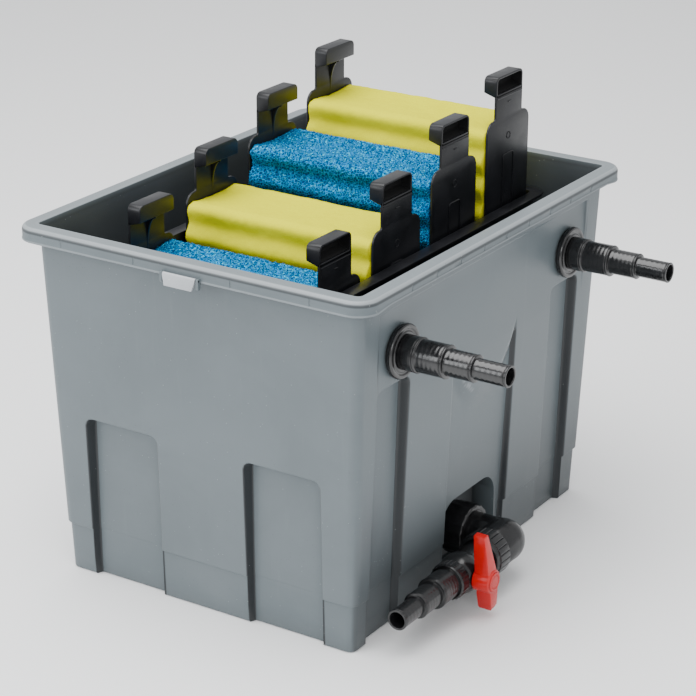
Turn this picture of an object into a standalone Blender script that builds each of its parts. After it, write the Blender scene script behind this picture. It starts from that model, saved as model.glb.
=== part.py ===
"""Multi-chamber pond box filter: open tub, lift-out cartridge tray, four foam cartridges,
two stepped hose fittings and a ball-valve drain.  Metres, +Z up, the origin at the centre of the
tub's underside.  +X is the side with the fittings, -Y is the side with the front lid clip."""

import math

import bmesh
import bpy
from mathutils import Matrix, Vector

# ---- driving dimensions -------------------------------------------------------------------
GAP = 0.0003                    # clearance between pieces that touch
FIT = 0.0004                    # radial clearance of turned pieces in each other

RIM_X = 0.468                   # tub, over the rim
RIM_Y = 0.590
TUB_H = 0.430
RIM_LEDGE = 0.0198              # width of the rim's flat top
RIM_DROP = 0.0175               # height of the rim's skirt
RIM_T = 0.004
WALL_T = 0.004
WALL_IN = 0.0178                # wall top sits this far inside the rim
DRAFT_X = 0.0151                # how far each wall leans in over the height
DRAFT_Y = 0.0148
BAND_H = 0.059                  # height of the stepped-in lower band
BAND_IN = 0.003
TUB_R = 0.013                   # corner radius of the tub
RIM_R = 0.026
BASE_X = RIM_X / 2 - WALL_IN - DRAFT_X      # half width and half length of the walls at the base
BASE_Y = RIM_Y / 2 - WALL_IN - DRAFT_Y

END_RECESS_W = 0.101            # two recessed panels on each Y face
END_RECESS_TOP = 0.203
END_RECESS_AT = BASE_X - 0.0911
SIDE_RECESS_W = 0.066           # two recessed panels on the +X face
SIDE_RECESS_TOP = TUB_H - 0.124
SIDE_RECESS_AT = BASE_Y - 0.0674
SIDE_RECESS_SHIFT = -0.006
RECESS_FLOOR_Y = 0.0060         # depth of the Y-face panels at the base
RECESS_FLOOR_X = 0.0065
RECESS_SIDE = 0.004             # slope of a panel's side walls
CHANNEL_W = 0.143               # shallow channel above the drain
CHANNEL_TOP = TUB_H - 0.128
CHANNEL_LOW = CHANNEL_TOP - 0.066
CHANNEL_DEPTH = 0.0088
CHANNEL_LEAN = 0.048
LAND_Y = BASE_Y - 0.0254                  # flat upright land that the fittings seat on
LAND_TOP = TUB_H - 0.033
LAND_DEPTH = 0.004

POCKET_W = 0.125                # pocket that houses the drain collar
POCKET_TOP = 0.103
POCKET_LOW = 0.0075
POCKET_Y = -0.006
POCKET_DEPTH = 0.036
POCKET_R = 0.030

TRAY_T = 0.0025
TRAY_END_GAP = 0.0007           # between the tray's end and the backs of the end panels
SIDE_CHAMBER = 0.0691           # water space between the tray and each side wall, at the base
TRAY_X = BASE_X - SIDE_CHAMBER  # inside half width and half length of the tray
TRAY_Y = BASE_Y - BAND_IN - RECESS_FLOOR_Y - WALL_T - TRAY_T - TRAY_END_GAP
TRAY_TOP = TUB_H - 0.040
TRAY_LIP = 0.016
TRAY_LIP_T = 0.003
TRAY_FLOOR = 0.085
TRAY_SKIRT_IN = 0.0045          # the lower skirt sits this far inside the upper wall
TRAY_SKIRT_Y = TRAY_Y - 0.0112
SIDE_WINDOWS = 7                # flow windows in the skirt, each side and each end
END_WINDOWS = 4
WINDOW_SHARE = 0.6
GRID_T = 0.006
GRID_GAP = 0.0022               # clearance that keeps the grid's square corners off the tray's round ones

MODULES = 4
FOAM_GAP = 0.0065               # half the space between two foams
MODULE_PITCH = (TRAY_Y - TRAY_END_GAP + FOAM_GAP) * 2 / MODULES
MODULE_H = TUB_H - 0.105
SEATED_TOP = TRAY_FLOOR + TRAY_T + GAP * 3 + GRID_T + MODULE_H
LIFTS = (0.0331, 0.0676, 0.1041, 0.1316)
PLATE_OUT = TRAY_X - 0.0035      # outer face of an end plate
PLATE_T = 0.003
PLATE_W = MODULE_PITCH - 0.026
NECK_W = PLATE_W - 0.037
NECK_H = 0.050
SHOULDER_R = 0.014
HANDLE_DEPTH = 0.0175
HANDLE_H = 0.0250
HANDLE_RISE = 0.0055            # the block is this much shallower at its inner face
HANDLE_R = 0.007
RIB_H = 0.038
FOAM_TOP = 0.061                # below the handle's top
FOAM_CREST = MODULE_PITCH / 2 - FOAM_GAP    # half thickness at a crest and at a groove
FOAM_GROOVE = FOAM_CREST - 0.0125
FOAM_TOP_HALF = FOAM_CREST - 0.0155
FOAM_BASE_HALF = FOAM_CREST - 0.0145
FOAM_PITCH = 0.032
BASE_T = 0.006

FITTING_Y = BASE_Y - 0.0709
FITTING_Z = TUB_H - 0.0875
FLANGE_R = 0.031
FLANGE_T = 0.0065
GASKET_T = 0.002
THREAD_R = 0.0195
THREAD_BORE = 0.0145
NUT_R = 0.027
NUT_T = 0.012
TAIL_STEPS = ((0.0200, 0.0195), (0.0187, 0.0337), (0.0153, 0.0343), (0.0121, 0.0398))
TAIL_BORE = 0.0094

DRAIN_X = BASE_X + 0.0426        # axis of the drain line, which runs along Y
DRAIN_Y = -0.003
DRAIN_Z = 0.0480
COLLAR_R = 0.032
COLLAR_FRONT = BASE_X + 0.0029
PIPE_R = 0.0225
PIPE_BORE = 0.0170
ELBOW_R = 0.0260                # outside of the elbow past the collar, and its domed corner
ELBOW_DOME_R = 0.0264
ELBOW_NECK_R = 0.0237
ELBOW_CORNER_Y = DRAIN_Y - 0.0025
UNION_Y = (-0.0345, -0.0640)
UNION_R = 0.0285
VALVE_Y = -0.104
VALVE_R = 0.0248
BALL_R = 0.0150
BALL_BORE = 0.0095
STEM_R = 0.0045
TAIL_NUT_Y = (-0.1190, -0.1355)
TAIL_NUT_R = 0.0222
LEVER_TILT = 9.0                # degrees that the lever stands off square
LEVER_UP = 0.060
LEVER_DOWN = 0.0375
HUB_R = 0.0142
HUB_SKIRT = 0.0229              # open inner edge of the hub, from the drain axis
HUB_BORE_R = 0.0108             # room in the hub for the stem boss
HUB_END = 0.0448                # outer face of the lever's hub, from the drain axis
LEVER_IN = (0.0234, 0.0248)     # inner edges of the upper and lower arms' tips, from the drain axis
LEVER_OUT = (0.0381, 0.0420)    # outer edges of the same tips
LEVER_ROOT_OUT = 0.0428
CAP_R = 0.0120

CLIP_HALF = 0.0215
CLIP_LEN = 0.0125
CLIP_T = 0.0022
CLIP_Z = 0.4155
PIN_R = 0.0012
EAR_T = 0.0035
EAR_HANG = 0.0105               # the ears hang this far below the pin
CLIP_TILT = 14.0

STEPS = 24                      # facets round a turned piece


# ---- materials ----------------------------------------------------------------------------
def plastic(name, rgb, rough):
    """A Principled material in one colour."""
    mat = bpy.data.materials.new(name)
    mat.use_nodes = True
    shader = mat.node_tree.nodes["Principled BSDF"]
    shader.inputs["Base Color"].default_value = (*rgb, 1.0)
    shader.inputs["Roughness"].default_value = rough
    shader.inputs["Metallic"].default_value = 0.0
    mat.diffuse_color = (*rgb, 1.0)
    return mat


# ---- mesh helpers -------------------------------------------------------------------------
def new_object(name, bm, mat, pivot=(0.0, 0.0, 0.0), smooth=False):
    """Turns a bmesh in world places into an object whose origin is the pivot."""
    bmesh.ops.recalc_face_normals(bm, faces=bm.faces[:])
    bmesh.ops.translate(bm, verts=bm.verts[:], vec=-Vector(pivot))
    mesh = bpy.data.meshes.new(name)
    bm.to_mesh(mesh)
    bm.free()
    if smooth:
        mesh.shade_smooth()
        mesh.set_sharp_from_angle(angle=math.radians(32))
    obj = bpy.data.objects.new(name, mesh)
    obj.location = pivot
    if mat is not None:
        mesh.materials.append(mat)
    bpy.context.scene.collection.objects.link(obj)
    return obj


def loft(bm, rings, closed=False):
    """Skins equal rings of points; open lofts get a cap at each end."""
    rows = [[bm.verts.new(p) for p in ring] for ring in rings]
    pairs = list(zip(rows, rows[1:]))
    if closed:
        pairs.append((rows[-1], rows[0]))
    for low, high in pairs:
        for i in range(len(low)):
            j = (i + 1) % len(low)
            bm.faces.new((low[i], low[j], high[j], high[i]))
    if not closed:
        bm.faces.new(rows[0])
        bm.faces.new(rows[-1])


def turned(bm, profile, place, steps=STEPS, closed=True):
    """Turns a profile of (radius, height) about the local Z axis, then places it."""
    rings = []
    for radius, height in profile:
        ring = []
        for i in range(steps):
            turn = 2.0 * math.pi * i / steps
            point = Vector((radius * math.cos(turn), radius * math.sin(turn), height))
            ring.append(place @ point)
        rings.append(ring)
    loft(bm, rings, closed)


def along(axis, point):
    """A frame at a point whose local Z runs along the axis."""
    return Matrix.Translation(point) @ Vector(axis).to_track_quat("Z", "Y").to_matrix().to_4x4()


def box(bm, low, high):
    """An upright box between two corners."""
    corners = [(low[0], low[1]), (high[0], low[1]), (high[0], high[1]), (low[0], high[1])]
    loft(bm, [[(x, y, z) for x, y in corners] for z in (low[2], high[2])])


def prism(bm, outline, axis, start, end):
    """Pushes an outline of (u, z) along X or Y between two places."""
    def place(u, z, depth):
        return (depth, u, z) if axis == "x" else (u, depth, z)
    loft(bm, [[place(u, z, d) for u, z in outline] for d in (start, end)])


def rounded_ring(hx, hy, radius, z, steps=4):
    """A rectangle with round corners, as points at height z."""
    points = []
    for quarter, (sx, sy) in enumerate(((1, 1), (-1, 1), (-1, -1), (1, -1))):
        for i in range(steps + 1):
            turn = math.radians(90.0 * (quarter + i / steps))
            x = sx * (hx - radius) + radius * math.cos(turn)
            y = sy * (hy - radius) + radius * math.sin(turn)
            points.append((x, y, z))
    return points


def arched(low, high, bottom, top, radius, steps=4):
    """Outline of a panel with two round top corners, as (u, z)."""
    points = [(low, bottom), (high, bottom)]
    for centre, first in ((high - radius, 0.0), (low + radius, 90.0)):
        for i in range(steps + 1):
            turn = math.radians(first + 90.0 * i / steps)
            points.append((centre + radius * math.cos(turn), top - radius + radius * math.sin(turn)))
    return points


def boolean(obj, other, operation):
    """Joins another object to this one, or cuts it away, and hides the other."""
    mod = obj.modifiers.new(other.name, "BOOLEAN")
    mod.operation = operation
    mod.object = other
    other.hide_render = True
    other.display_type = "WIRE"


# ---- the tub ------------------------------------------------------------------------------
def wall_x(z):
    """Half width of the tub's outer wall at a height, without the lower band's step."""
    return RIM_X / 2 - WALL_IN - DRAFT_X * (1.0 - z / TUB_H)


def wall_y(z):
    return RIM_Y / 2 - WALL_IN - DRAFT_Y * (1.0 - z / TUB_H)


def tub_ring(z, inset, radius):
    return rounded_ring(wall_x(z) - inset, wall_y(z) - inset, radius, z)


def rim_ring(inset, z):
    return rounded_ring(RIM_X / 2 - inset, RIM_Y / 2 - inset, RIM_R - inset, z)


def tub_shell():
    """Outer wall, rolled rim and inner wall in one skin, from the underside to the inner floor."""
    skirt = TUB_H - RIM_DROP
    under = TUB_H - RIM_T
    inner_r = TUB_R - WALL_T
    bm = bmesh.new()
    loft(bm, [
        tub_ring(0.0, BAND_IN + 0.003, TUB_R),
        tub_ring(0.003, BAND_IN, TUB_R),
        tub_ring(BAND_H, BAND_IN, TUB_R),
        tub_ring(BAND_H + 0.001, 0.0, TUB_R),
        tub_ring(under, 0.0, TUB_R),
        rim_ring(RIM_T, under),
        rim_ring(RIM_T, skirt),
        rim_ring(0.0008, skirt),
        rim_ring(0.0, skirt + 0.001),
        rim_ring(0.0, TUB_H - 0.006),
        rim_ring(0.0018, TUB_H - 0.0018),
        rim_ring(0.006, TUB_H),
        rim_ring(RIM_LEDGE - 0.001, TUB_H),
        tub_ring(TUB_H - 0.002, WALL_T, inner_r),
        tub_ring(BAND_H + WALL_T, WALL_T, inner_r),
        tub_ring(BAND_H, BAND_IN + WALL_T, inner_r),
        tub_ring(WALL_T, BAND_IN + WALL_T, inner_r),
    ])
    return bm


def panel(name, face, outline, floor_base, floor_lean, grow, side=1, slope=RECESS_SIDE):
    """A cutter for a recessed panel, or with grow the wall that backs it on the inside."""
    mid = sum(u for u, _ in outline) / len(outline)
    wall = wall_x if face == "x" else wall_y

    def placed(u, z, depth, shift):
        depth *= side
        return (depth, u + shift, z) if face == "x" else (u + shift, depth, z)

    backs = (-BAND_IN - 0.0005,) if grow else (0.05, 0.0013)
    rings = [[placed(u, z, wall(z) + back, 0.0) for u, z in outline] for back in backs]
    floor = floor_base - (WALL_T if grow else 0.0)
    rings.append([placed(u, z, floor + floor_lean * z, slope * (1 if u < mid else -1)) for u, z in outline])
    bm = bmesh.new()
    loft(bm, rings)
    return new_object(name, bm, None)


def backed_panel(tub, name, face, low, high, top, floor_base, floor_lean, side=1, radius=0.010):
    """Adds the inner backing of a panel to the tub; returns the cutter for later."""
    grown = arched(low - WALL_T, high + WALL_T, 0.0012, top + WALL_T, radius + WALL_T)
    boolean(tub, panel(name + "_back", face, grown, floor_base, floor_lean, True, side), "UNION")
    return panel(name + "_cut", face, arched(low, high, -0.01, top, radius), floor_base,
                 floor_lean, False, side)


def channel_cut():
    """Shallow channel above the drain; its head sweeps up to a point beside +Y."""
    low, high = POCKET_Y - CHANNEL_W / 2 + 0.005, POCKET_Y + CHANNEL_W / 2 + 0.007
    steps = 6
    head = []
    for i in range(steps + 1):
        share = i / steps
        rise = CHANNEL_LOW + (CHANNEL_TOP - CHANNEL_LOW) * (1.0 - math.sqrt(1.0 - (0.92 * share) ** 2)) / 0.608
        head.append((low + (high - low) * share, min(rise, CHANNEL_TOP)))
    outline = [(low, -0.01), (high, -0.01)] + head[::-1]
    rings = []
    for step in range(3):
        ring = []
        for u, z in outline:
            depth = (wall_x(z) + 0.05, wall_x(z) + 0.0013,
                     wall_x(0) - CHANNEL_DEPTH + CHANNEL_LEAN * z)[step]
            drop = 0.030 if step == 2 and z > 0 else 0.0
            ring.append((depth, u, z - drop))
        rings.append(ring)
    bm = bmesh.new()
    loft(bm, rings)
    return new_object("channel_cut", bm, None)


def pocket(tub):
    """Deep pocket for the drain collar, with its own wall all round."""
    back = wall_x(0) - POCKET_DEPTH
    low, high = POCKET_Y - POCKET_W / 2, POCKET_Y + POCKET_W / 2
    bm = bmesh.new()
    grown = arched(low - WALL_T, high + WALL_T, 0.0012, POCKET_TOP + WALL_T, POCKET_R + WALL_T)
    prism(bm, grown, "x", back - WALL_T, wall_x(0) - BAND_IN - WALL_T / 2)
    boolean(tub, new_object("pocket_back", bm, None), "UNION")
    bm = bmesh.new()
    prism(bm, arched(low, high, POCKET_LOW, POCKET_TOP, POCKET_R), "x", back, back + 0.1)
    return new_object("pocket_cut", bm, None)


def land_cut():
    """Upright flat land in the leaning +X wall."""
    bm = bmesh.new()
    inner = land_x()
    box(bm, (inner, -LAND_Y, 0.20), (inner + 0.02, LAND_Y, LAND_TOP))
    return new_object("land_cut", bm, None)


def land_x():
    return wall_x(LAND_TOP) - LAND_DEPTH


def holes_cut():
    """One cutter with the three fitting holes and the two clip pin holes."""
    bm = bmesh.new()
    spots = [(land_x(), hand * FITTING_Y, FITTING_Z) for hand in (-1, 1)]
    spots.append((wall_x(0) - POCKET_DEPTH, DRAIN_Y, DRAIN_Z))
    for spot in spots:
        turned(bm, [(THREAD_R + FIT, -0.03), (THREAD_R + FIT, 0.03)], along((1, 0, 0), spot), closed=False)
    for side in (-1, 1):
        y, z = pin_place(side)
        turned(bm, [(PIN_R + FIT / 2, -0.03), (PIN_R + FIT / 2, 0.03)], along((1, 0, 0), (0, y, z)), 12,
               False)
    return new_object("holes_cut", bm, None)


def pin_place(side):
    """Axis of the clip's pin at a Y end of the rim."""
    return side * (RIM_Y / 2 + PIN_R + 0.0018), CLIP_Z


def clip_ear(name, side, hand):
    """Small lug on the rim that holds one end of the clip's pin."""
    y, z = pin_place(side)
    start = hand * (CLIP_HALF + 0.0006)
    low, high = sorted((start, start + hand * EAR_T))
    foot = side * (RIM_Y / 2 - 0.0022)
    bm = bmesh.new()
    tip = y + side * 0.0018
    outline = [(foot, z + 0.0050), (foot, z - 0.0020), (foot + side * 0.0023, z - EAR_HANG + 0.0015),
               (foot + side * 0.0032, z - EAR_HANG), (tip - side * 0.0006, z - EAR_HANG),
               (tip, z - EAR_HANG + 0.0012), (tip, z + 0.0020)]
    prism(bm, outline, "x", low, high)
    return new_object(name, bm, None)


def build_tub(grey):
    """The moulded tub with its rim, recessed panels, drain pocket and holes."""
    tub = new_object("tub", tub_shell(), grey)
    cutters = []
    floor_y = wall_y(0) - BAND_IN - RECESS_FLOOR_Y
    floor_x = wall_x(0) - BAND_IN - RECESS_FLOOR_X
    for side, side_name in ((-1, "front"), (1, "back")):
        for hand, hand_name in ((-1, "left"), (1, "right")):
            low = hand * END_RECESS_AT - END_RECESS_W / 2
            cutters.append(backed_panel(tub, f"{side_name}_{hand_name}", "y", low, low + END_RECESS_W,
                                        END_RECESS_TOP, floor_y, 0.010, side))
    for hand, hand_name in ((-1, "near"), (1, "far")):
        low = hand * SIDE_RECESS_AT + SIDE_RECESS_SHIFT - SIDE_RECESS_W / 2
        cutters.append(backed_panel(tub, f"side_{hand_name}", "x", low, low + SIDE_RECESS_W,
                                    SIDE_RECESS_TOP, floor_x, 0.026))
    low, high = POCKET_Y - CHANNEL_W / 2, POCKET_Y + CHANNEL_W / 2 + 0.011
    sides = [(low, 0.0012), (high, 0.0012), (high, CHANNEL_TOP + 0.004), (low, CHANNEL_TOP + 0.004)]
    boolean(tub, panel("channel_back", "x", sides, wall_x(0) - CHANNEL_DEPTH, CHANNEL_LEAN, True,
                       slope=0.0), "UNION")
    low = LAND_TOP - 0.112
    reach = LAND_Y + WALL_T
    sides = [(-reach, low), (reach, low), (reach, LAND_TOP + WALL_T), (-reach, LAND_TOP + WALL_T)]
    boolean(tub, panel("land_back", "x", sides, land_x(), 0.0, True, slope=0.0), "UNION")
    cutters.append(pocket(tub))
    for side, side_name in ((-1, "front"), (1, "back")):
        for hand, hand_name in ((-1, "left"), (1, "right")):
            boolean(tub, clip_ear(f"{side_name}_{hand_name}_ear", side, hand), "UNION")
    cutters += [channel_cut(), land_cut(), holes_cut()]
    for cutter in cutters:
        boolean(tub, cutter, "DIFFERENCE")


# ---- lid clips ----------------------------------------------------------------------------
def build_clips(light_grey, black):
    """A swinging clip and its pin at each Y end of the rim."""
    for side, name in ((-1, "front"), (1, "back")):
        y, z = pin_place(side)
        bm = bmesh.new()
        half = CLIP_HALF + 0.0006 + EAR_T
        turned(bm, [(PIN_R, -half), (PIN_R, half)], along((1, 0, 0), (0, y, z)), 12, False)
        new_object(f"{name}_clip_pin", bm, black, smooth=True)
        barrel = PIN_R + 0.0011
        outline = []
        for i in range(13):
            turn = math.radians(-60.0 + 300.0 * i / 12)
            outline.append((barrel * math.sin(turn), -barrel * math.cos(turn)))
        hang = CLIP_T / 2
        outline = [(u, v) for u, v in outline if v > -barrel * 0.55]
        outline = sorted(outline, key=lambda p: -math.atan2(p[0], p[1]))
        outline += [(-hang, -CLIP_LEN), (hang, -CLIP_LEN)]
        tilt = math.radians(CLIP_TILT) * side
        placed = []
        for u, v in outline:
            placed.append((y + u * math.cos(tilt) - v * math.sin(tilt),
                           z + u * math.sin(tilt) + v * math.cos(tilt)))
        bm = bmesh.new()
        prism(bm, placed, "x", -CLIP_HALF, CLIP_HALF)
        clip = new_object(f"{name}_clip", bm, light_grey, pivot=(0.0, y, z))
        bm = bmesh.new()
        bore = PIN_R + FIT / 2
        turned(bm, [(bore, -0.03), (bore, 0.03)], along((1, 0, 0), (0, y, z)), 12, False)
        boolean(clip, new_object(f"{name}_clip_bore", bm, None), "DIFFERENCE")


# ---- tray and grid ------------------------------------------------------------------------
def tray_ring(grow, z, skirt=False):
    hy = TRAY_SKIRT_Y if skirt else TRAY_Y
    hx = TRAY_X - TRAY_SKIRT_IN if skirt else TRAY_X
    return rounded_ring(hx + grow, hy + grow, 0.006 + grow, z, 3)


def build_tray(black):
    """Open tray with a turned-out lip, a ledge for the grid and a windowed skirt below."""
    foot = WALL_T + GAP
    bm = bmesh.new()
    loft(bm, [
        tray_ring(TRAY_T, foot, True),
        tray_ring(TRAY_T, TRAY_FLOOR - TRAY_T, True),
        tray_ring(TRAY_T, TRAY_FLOOR, False),
        tray_ring(TRAY_T, TRAY_TOP - TRAY_LIP_T),
        tray_ring(TRAY_LIP, TRAY_TOP - TRAY_LIP_T),
        tray_ring(TRAY_LIP, TRAY_TOP),
        tray_ring(0.0, TRAY_TOP),
        tray_ring(0.0, TRAY_FLOOR + TRAY_T),
        tray_ring(0.0, TRAY_FLOOR + TRAY_T, True),
        tray_ring(0.0, foot, True),
    ], closed=True)
    tray = new_object("cartridge_tray", bm, black)
    for axis, half, count in (("y", TRAY_SKIRT_Y, SIDE_WINDOWS), ("x", TRAY_X - TRAY_SKIRT_IN,
            END_WINDOWS)):
        span = 2 * half / count
        bm = bmesh.new()
        for i in range(count):
            centre = -half + span * (i + 0.5)
            low, high = centre - span * WINDOW_SHARE / 2, centre + span * WINDOW_SHARE / 2
            corners = ((-0.3, low), (0.3, high)) if axis == "y" else ((low, -0.3), (high, 0.3))
            box(bm, (*corners[0], foot + 0.012), (*corners[1], TRAY_FLOOR - 0.020))
        boolean(tray, new_object(f"tray_windows_{axis}", bm, None), "DIFFERENCE")


def build_grid(black):
    """Slotted floor that the cartridges stand on."""
    hx, hy = TRAY_X - GRID_GAP, TRAY_Y - GRID_GAP
    low = TRAY_FLOOR + TRAY_T + GAP
    columns, rows = 5, 6
    xs = stops(hx, columns, 0.006)
    ys = stops(hy, rows, 0.006)
    bm = bmesh.new()
    perforated(bm, xs, ys, low, low + GRID_T)
    new_object("support_grid", bm, black)


def stops(half, slots, bar):
    """Edges of bars and slots across a width, bar first and last."""
    slot = (2 * half - bar * (slots + 1)) / slots
    edges = [-half]
    for _ in range(slots):
        edges += [edges[-1] + bar, edges[-1] + bar + slot]
    return edges + [half]


def perforated(bm, xs, ys, low, high):
    """A plate whose cells with odd column and odd row are open."""
    grid = {}
    for level, z in enumerate((low, high)):
        for i, x in enumerate(xs):
            for j, y in enumerate(ys):
                grid[i, j, level] = bm.verts.new((x, y, z))

    def solid(i, j):
        inside = 0 <= i < len(xs) - 1 and 0 <= j < len(ys) - 1
        return inside and not (i % 2 == 1 and j % 2 == 1)

    for i in range(len(xs) - 1):
        for j in range(len(ys) - 1):
            if not solid(i, j):
                continue
            corners = ((i, j), (i + 1, j), (i + 1, j + 1), (i, j + 1))
            bm.faces.new([grid[a, b, 1] for a, b in corners])
            bm.faces.new([grid[a, b, 0] for a, b in corners[::-1]])
            sides = (((i, j - 1), 0, 1), ((i + 1, j), 1, 2), ((i, j + 1), 2, 3), ((i - 1, j), 3, 0))
            for (ni, nj), a, b in sides:
                if not solid(ni, nj):
                    p, q = corners[a], corners[b]
                    bm.faces.new((grid[p[0], p[1], 0], grid[q[0], q[1], 0], grid[q[0], q[1], 1],
                                  grid[p[0], p[1], 1]))


# ---- foam cartridges ----------------------------------------------------------------------
def plate_outline(y, top):
    """End plate seen along X: body, rounded shoulders, neck and rounded handle top."""
    neck, body = NECK_W / 2, PLATE_W / 2
    half = [(body, top - MODULE_H)]
    centre = (body - SHOULDER_R, top - NECK_H - 0.003 - SHOULDER_R)
    for i in range(5):
        turn = math.radians(90.0 * i / 4)
        half.append((centre[0] + SHOULDER_R * math.cos(turn), centre[1] + SHOULDER_R * math.sin(turn)))
    half.append((neck + 0.0015, top - NECK_H - 0.002))
    half.append((neck, top - NECK_H + 0.001))
    for i in range(4):
        turn = math.radians(90.0 * i / 3)
        half.append((neck - HANDLE_R + HANDLE_R * math.cos(turn),
                     top - HANDLE_R + HANDLE_R * math.sin(turn)))
    return [(y + u, z) for u, z in half] + [(y - u, z) for u, z in half[::-1]]


def raised(outline, top):
    """The same outline with its lower edge lifted, for the block's inner end."""
    return [(u, z + (HANDLE_RISE if z < top - HANDLE_H / 2 else 0.0)) for u, z in outline]


def build_plate(name, hand, y, top, black):
    """One end plate with its hollow handle block and centre rib; hand is the X side."""
    bm = bmesh.new()
    prism(bm, plate_outline(y, top), "x", hand * (PLATE_OUT - PLATE_T), hand * PLATE_OUT)
    plate = new_object(name, bm, black)
    block = arched(y - NECK_W / 2, y + NECK_W / 2, top - HANDLE_H, top, HANDLE_R, 3)
    outer, inner = hand * (PLATE_OUT - PLATE_T / 2), hand * (PLATE_OUT - HANDLE_DEPTH)
    bm = bmesh.new()
    loft(bm, [[(outer, u, z) for u, z in block], [(inner, u, z) for u, z in raised(block, top)]])
    boolean(plate, new_object(name + "_block", bm, None), "UNION")
    bm = bmesh.new()
    rib = [(hand * (PLATE_OUT - PLATE_T / 2), top - HANDLE_H + 0.001), (inner + hand * 0.0015,
            top - HANDLE_H + HANDLE_RISE)]
    for i in range(5):
        turn = math.radians(90.0 * i / 4)
        across = (HANDLE_DEPTH - PLATE_T - 0.002) * (1.0 - math.sin(turn))
        rib.append((hand * (PLATE_OUT - PLATE_T - across),
                    top - HANDLE_H + 0.003 - RIB_H * (1.0 - math.cos(turn))))
    rib.append((hand * (PLATE_OUT - PLATE_T / 2), top - HANDLE_H + 0.003 - RIB_H))
    prism(bm, rib, "y", y - 0.0015, y + 0.0015)
    boolean(plate, new_object(name + "_rib", bm, None), "UNION")
    bm = bmesh.new()
    hollow = arched(y - NECK_W / 2 + 0.003, y + NECK_W / 2 - 0.003, top - HANDLE_H + 0.003, top - 0.003,
                    HANDLE_R - 0.003, 3)
    inner += hand * 0.003
    loft(bm, [[(hand * (PLATE_OUT + 0.01), u, z) for u, z in hollow],
              [(hand * (PLATE_OUT - PLATE_T / 2), u, z) for u, z in hollow],
              [(inner, u, z) for u, z in raised(hollow, top)]])
    boolean(plate, new_object(name + "_hollow", bm, None), "DIFFERENCE")


def foam_outline(y, top, bottom):
    """Foam block seen along X: slightly dished top and V-grooves down both sides."""
    half = [(FOAM_TOP_HALF, top), (FOAM_CREST - 0.006, top - 0.006)]
    z = top - 0.023
    crest = False
    while z > bottom + 0.008:
        half.append((FOAM_CREST if crest else FOAM_GROOVE, z))
        crest = not crest
        z -= FOAM_PITCH / 2
    half.append((FOAM_GROOVE + 0.002, bottom))
    return [(y, top - 0.003)] + [(y - u, z) for u, z in half] + [(y + u, z) for u, z in half[::-1]]


def build_cartridge(number, y, top, black, foam_mat, foam_name):
    """Two end plates, a bottom channel and the foam between them."""
    bottom = top - MODULE_H
    inside = PLATE_OUT - PLATE_T
    build_plate(f"left_plate_{number}", -1, y, top, black)
    build_plate(f"right_plate_{number}", 1, y, top, black)
    bm = bmesh.new()
    reach = inside - GAP
    lip = 0.004
    half = FOAM_BASE_HALF
    outline = [(-half, 0.0), (half, 0.0), (half, BASE_T + lip), (half - 0.003, BASE_T + lip),
               (half - 0.003, BASE_T),
               (-half + 0.003, BASE_T), (-half + 0.003, BASE_T + lip), (-half, BASE_T + lip)]
    prism(bm, [(y + u, bottom + v) for u, v in outline], "x", -reach, reach)
    new_object(f"foam_base_{number}", bm, black)
    bm = bmesh.new()
    reach = inside - GAP * 2
    prism(bm, foam_outline(y, top - FOAM_TOP, bottom + BASE_T + lip + GAP), "x", -reach, reach)
    new_object(f"{foam_name}_{number}", bm, foam_mat)


# ---- fittings -----------------------------------------------------------------------------
def tail_profile(steps, bore):
    """Profile of a stepped hose tail from its root: outside out to the tip, then back inside."""
    outer = []
    reach = 0.0
    for radius, length in steps:
        outer += [(radius, reach + 0.0004), (radius * 0.965, reach + length)]
        reach += length
    return [(steps[0][0] * 0.98, 0.0)] + outer + [(bore, reach), (bore, reach * 0.35), (THREAD_BORE,
            reach * 0.30), (THREAD_BORE, 0.0)]


def nut(name, mat, place, outer, bore, thickness, sides=8):
    """A locknut with flats."""
    bm = bmesh.new()
    turned(bm, [(outer, 0.0), (outer, thickness), (bore, thickness), (bore, 0.0)], place, sides * 4)
    for vert in bm.verts:
        local = place.inverted() @ vert.co
        radius = math.hypot(local.x, local.y)
        if radius > (outer + bore) / 2:
            turn = math.atan2(local.y, local.x)
            sector = math.pi / sides
            flat = outer * math.cos(sector) / math.cos((turn + sector) % (2 * sector) - sector)
            vert.co = place @ Vector((flat * math.cos(turn), flat * math.sin(turn), local.z))
    return new_object(name, bm, mat)


def ring(name, mat, place, outer, bore, thickness):
    """A plain washer, gasket or seat."""
    bm = bmesh.new()
    turned(bm, [(outer, 0.0), (outer, thickness), (bore, thickness), (bore, 0.0)], place)
    return new_object(name, bm, mat, smooth=True)


def build_fitting(name, y, black, rubber):
    """Bulkhead flange, gasket, inside locknut and stepped hose tail at one hole."""
    seat = land_x() + GAP
    ring(f"{name}_gasket", rubber, along((1, 0, 0), (seat, y, FITTING_Z)), FLANGE_R - 0.003,
         THREAD_R + FIT, GASKET_T)
    back = seat + GASKET_T + GAP
    thread = back - (land_x() - WALL_T - NUT_T - 0.004)
    bm = bmesh.new()
    turned(bm, [(THREAD_R, -thread), (THREAD_R, 0.0), (FLANGE_R - 0.0015, 0.0), (FLANGE_R, 0.0015),
                (FLANGE_R, FLANGE_T - 0.0025), (FLANGE_R - 0.002, FLANGE_T - 0.0008), (FLANGE_R - 0.005,
                        FLANGE_T),
                (THREAD_BORE, FLANGE_T), (THREAD_BORE, -thread)],
           along((1, 0, 0), (back, y, FITTING_Z)))
    new_object(f"{name}_bulkhead", bm, black, smooth=True)
    nut(f"{name}_locknut", black, along((-1, 0, 0), (land_x() - WALL_T - GAP, y, FITTING_Z)), NUT_R,
        THREAD_R + FIT, NUT_T)
    bm = bmesh.new()
    turned(bm, tail_profile(TAIL_STEPS, TAIL_BORE), along((1, 0, 0), (back + FLANGE_T + GAP, y, FITTING_Z)))
    new_object(f"{name}_hose_tail", bm, black, smooth=True)


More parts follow.
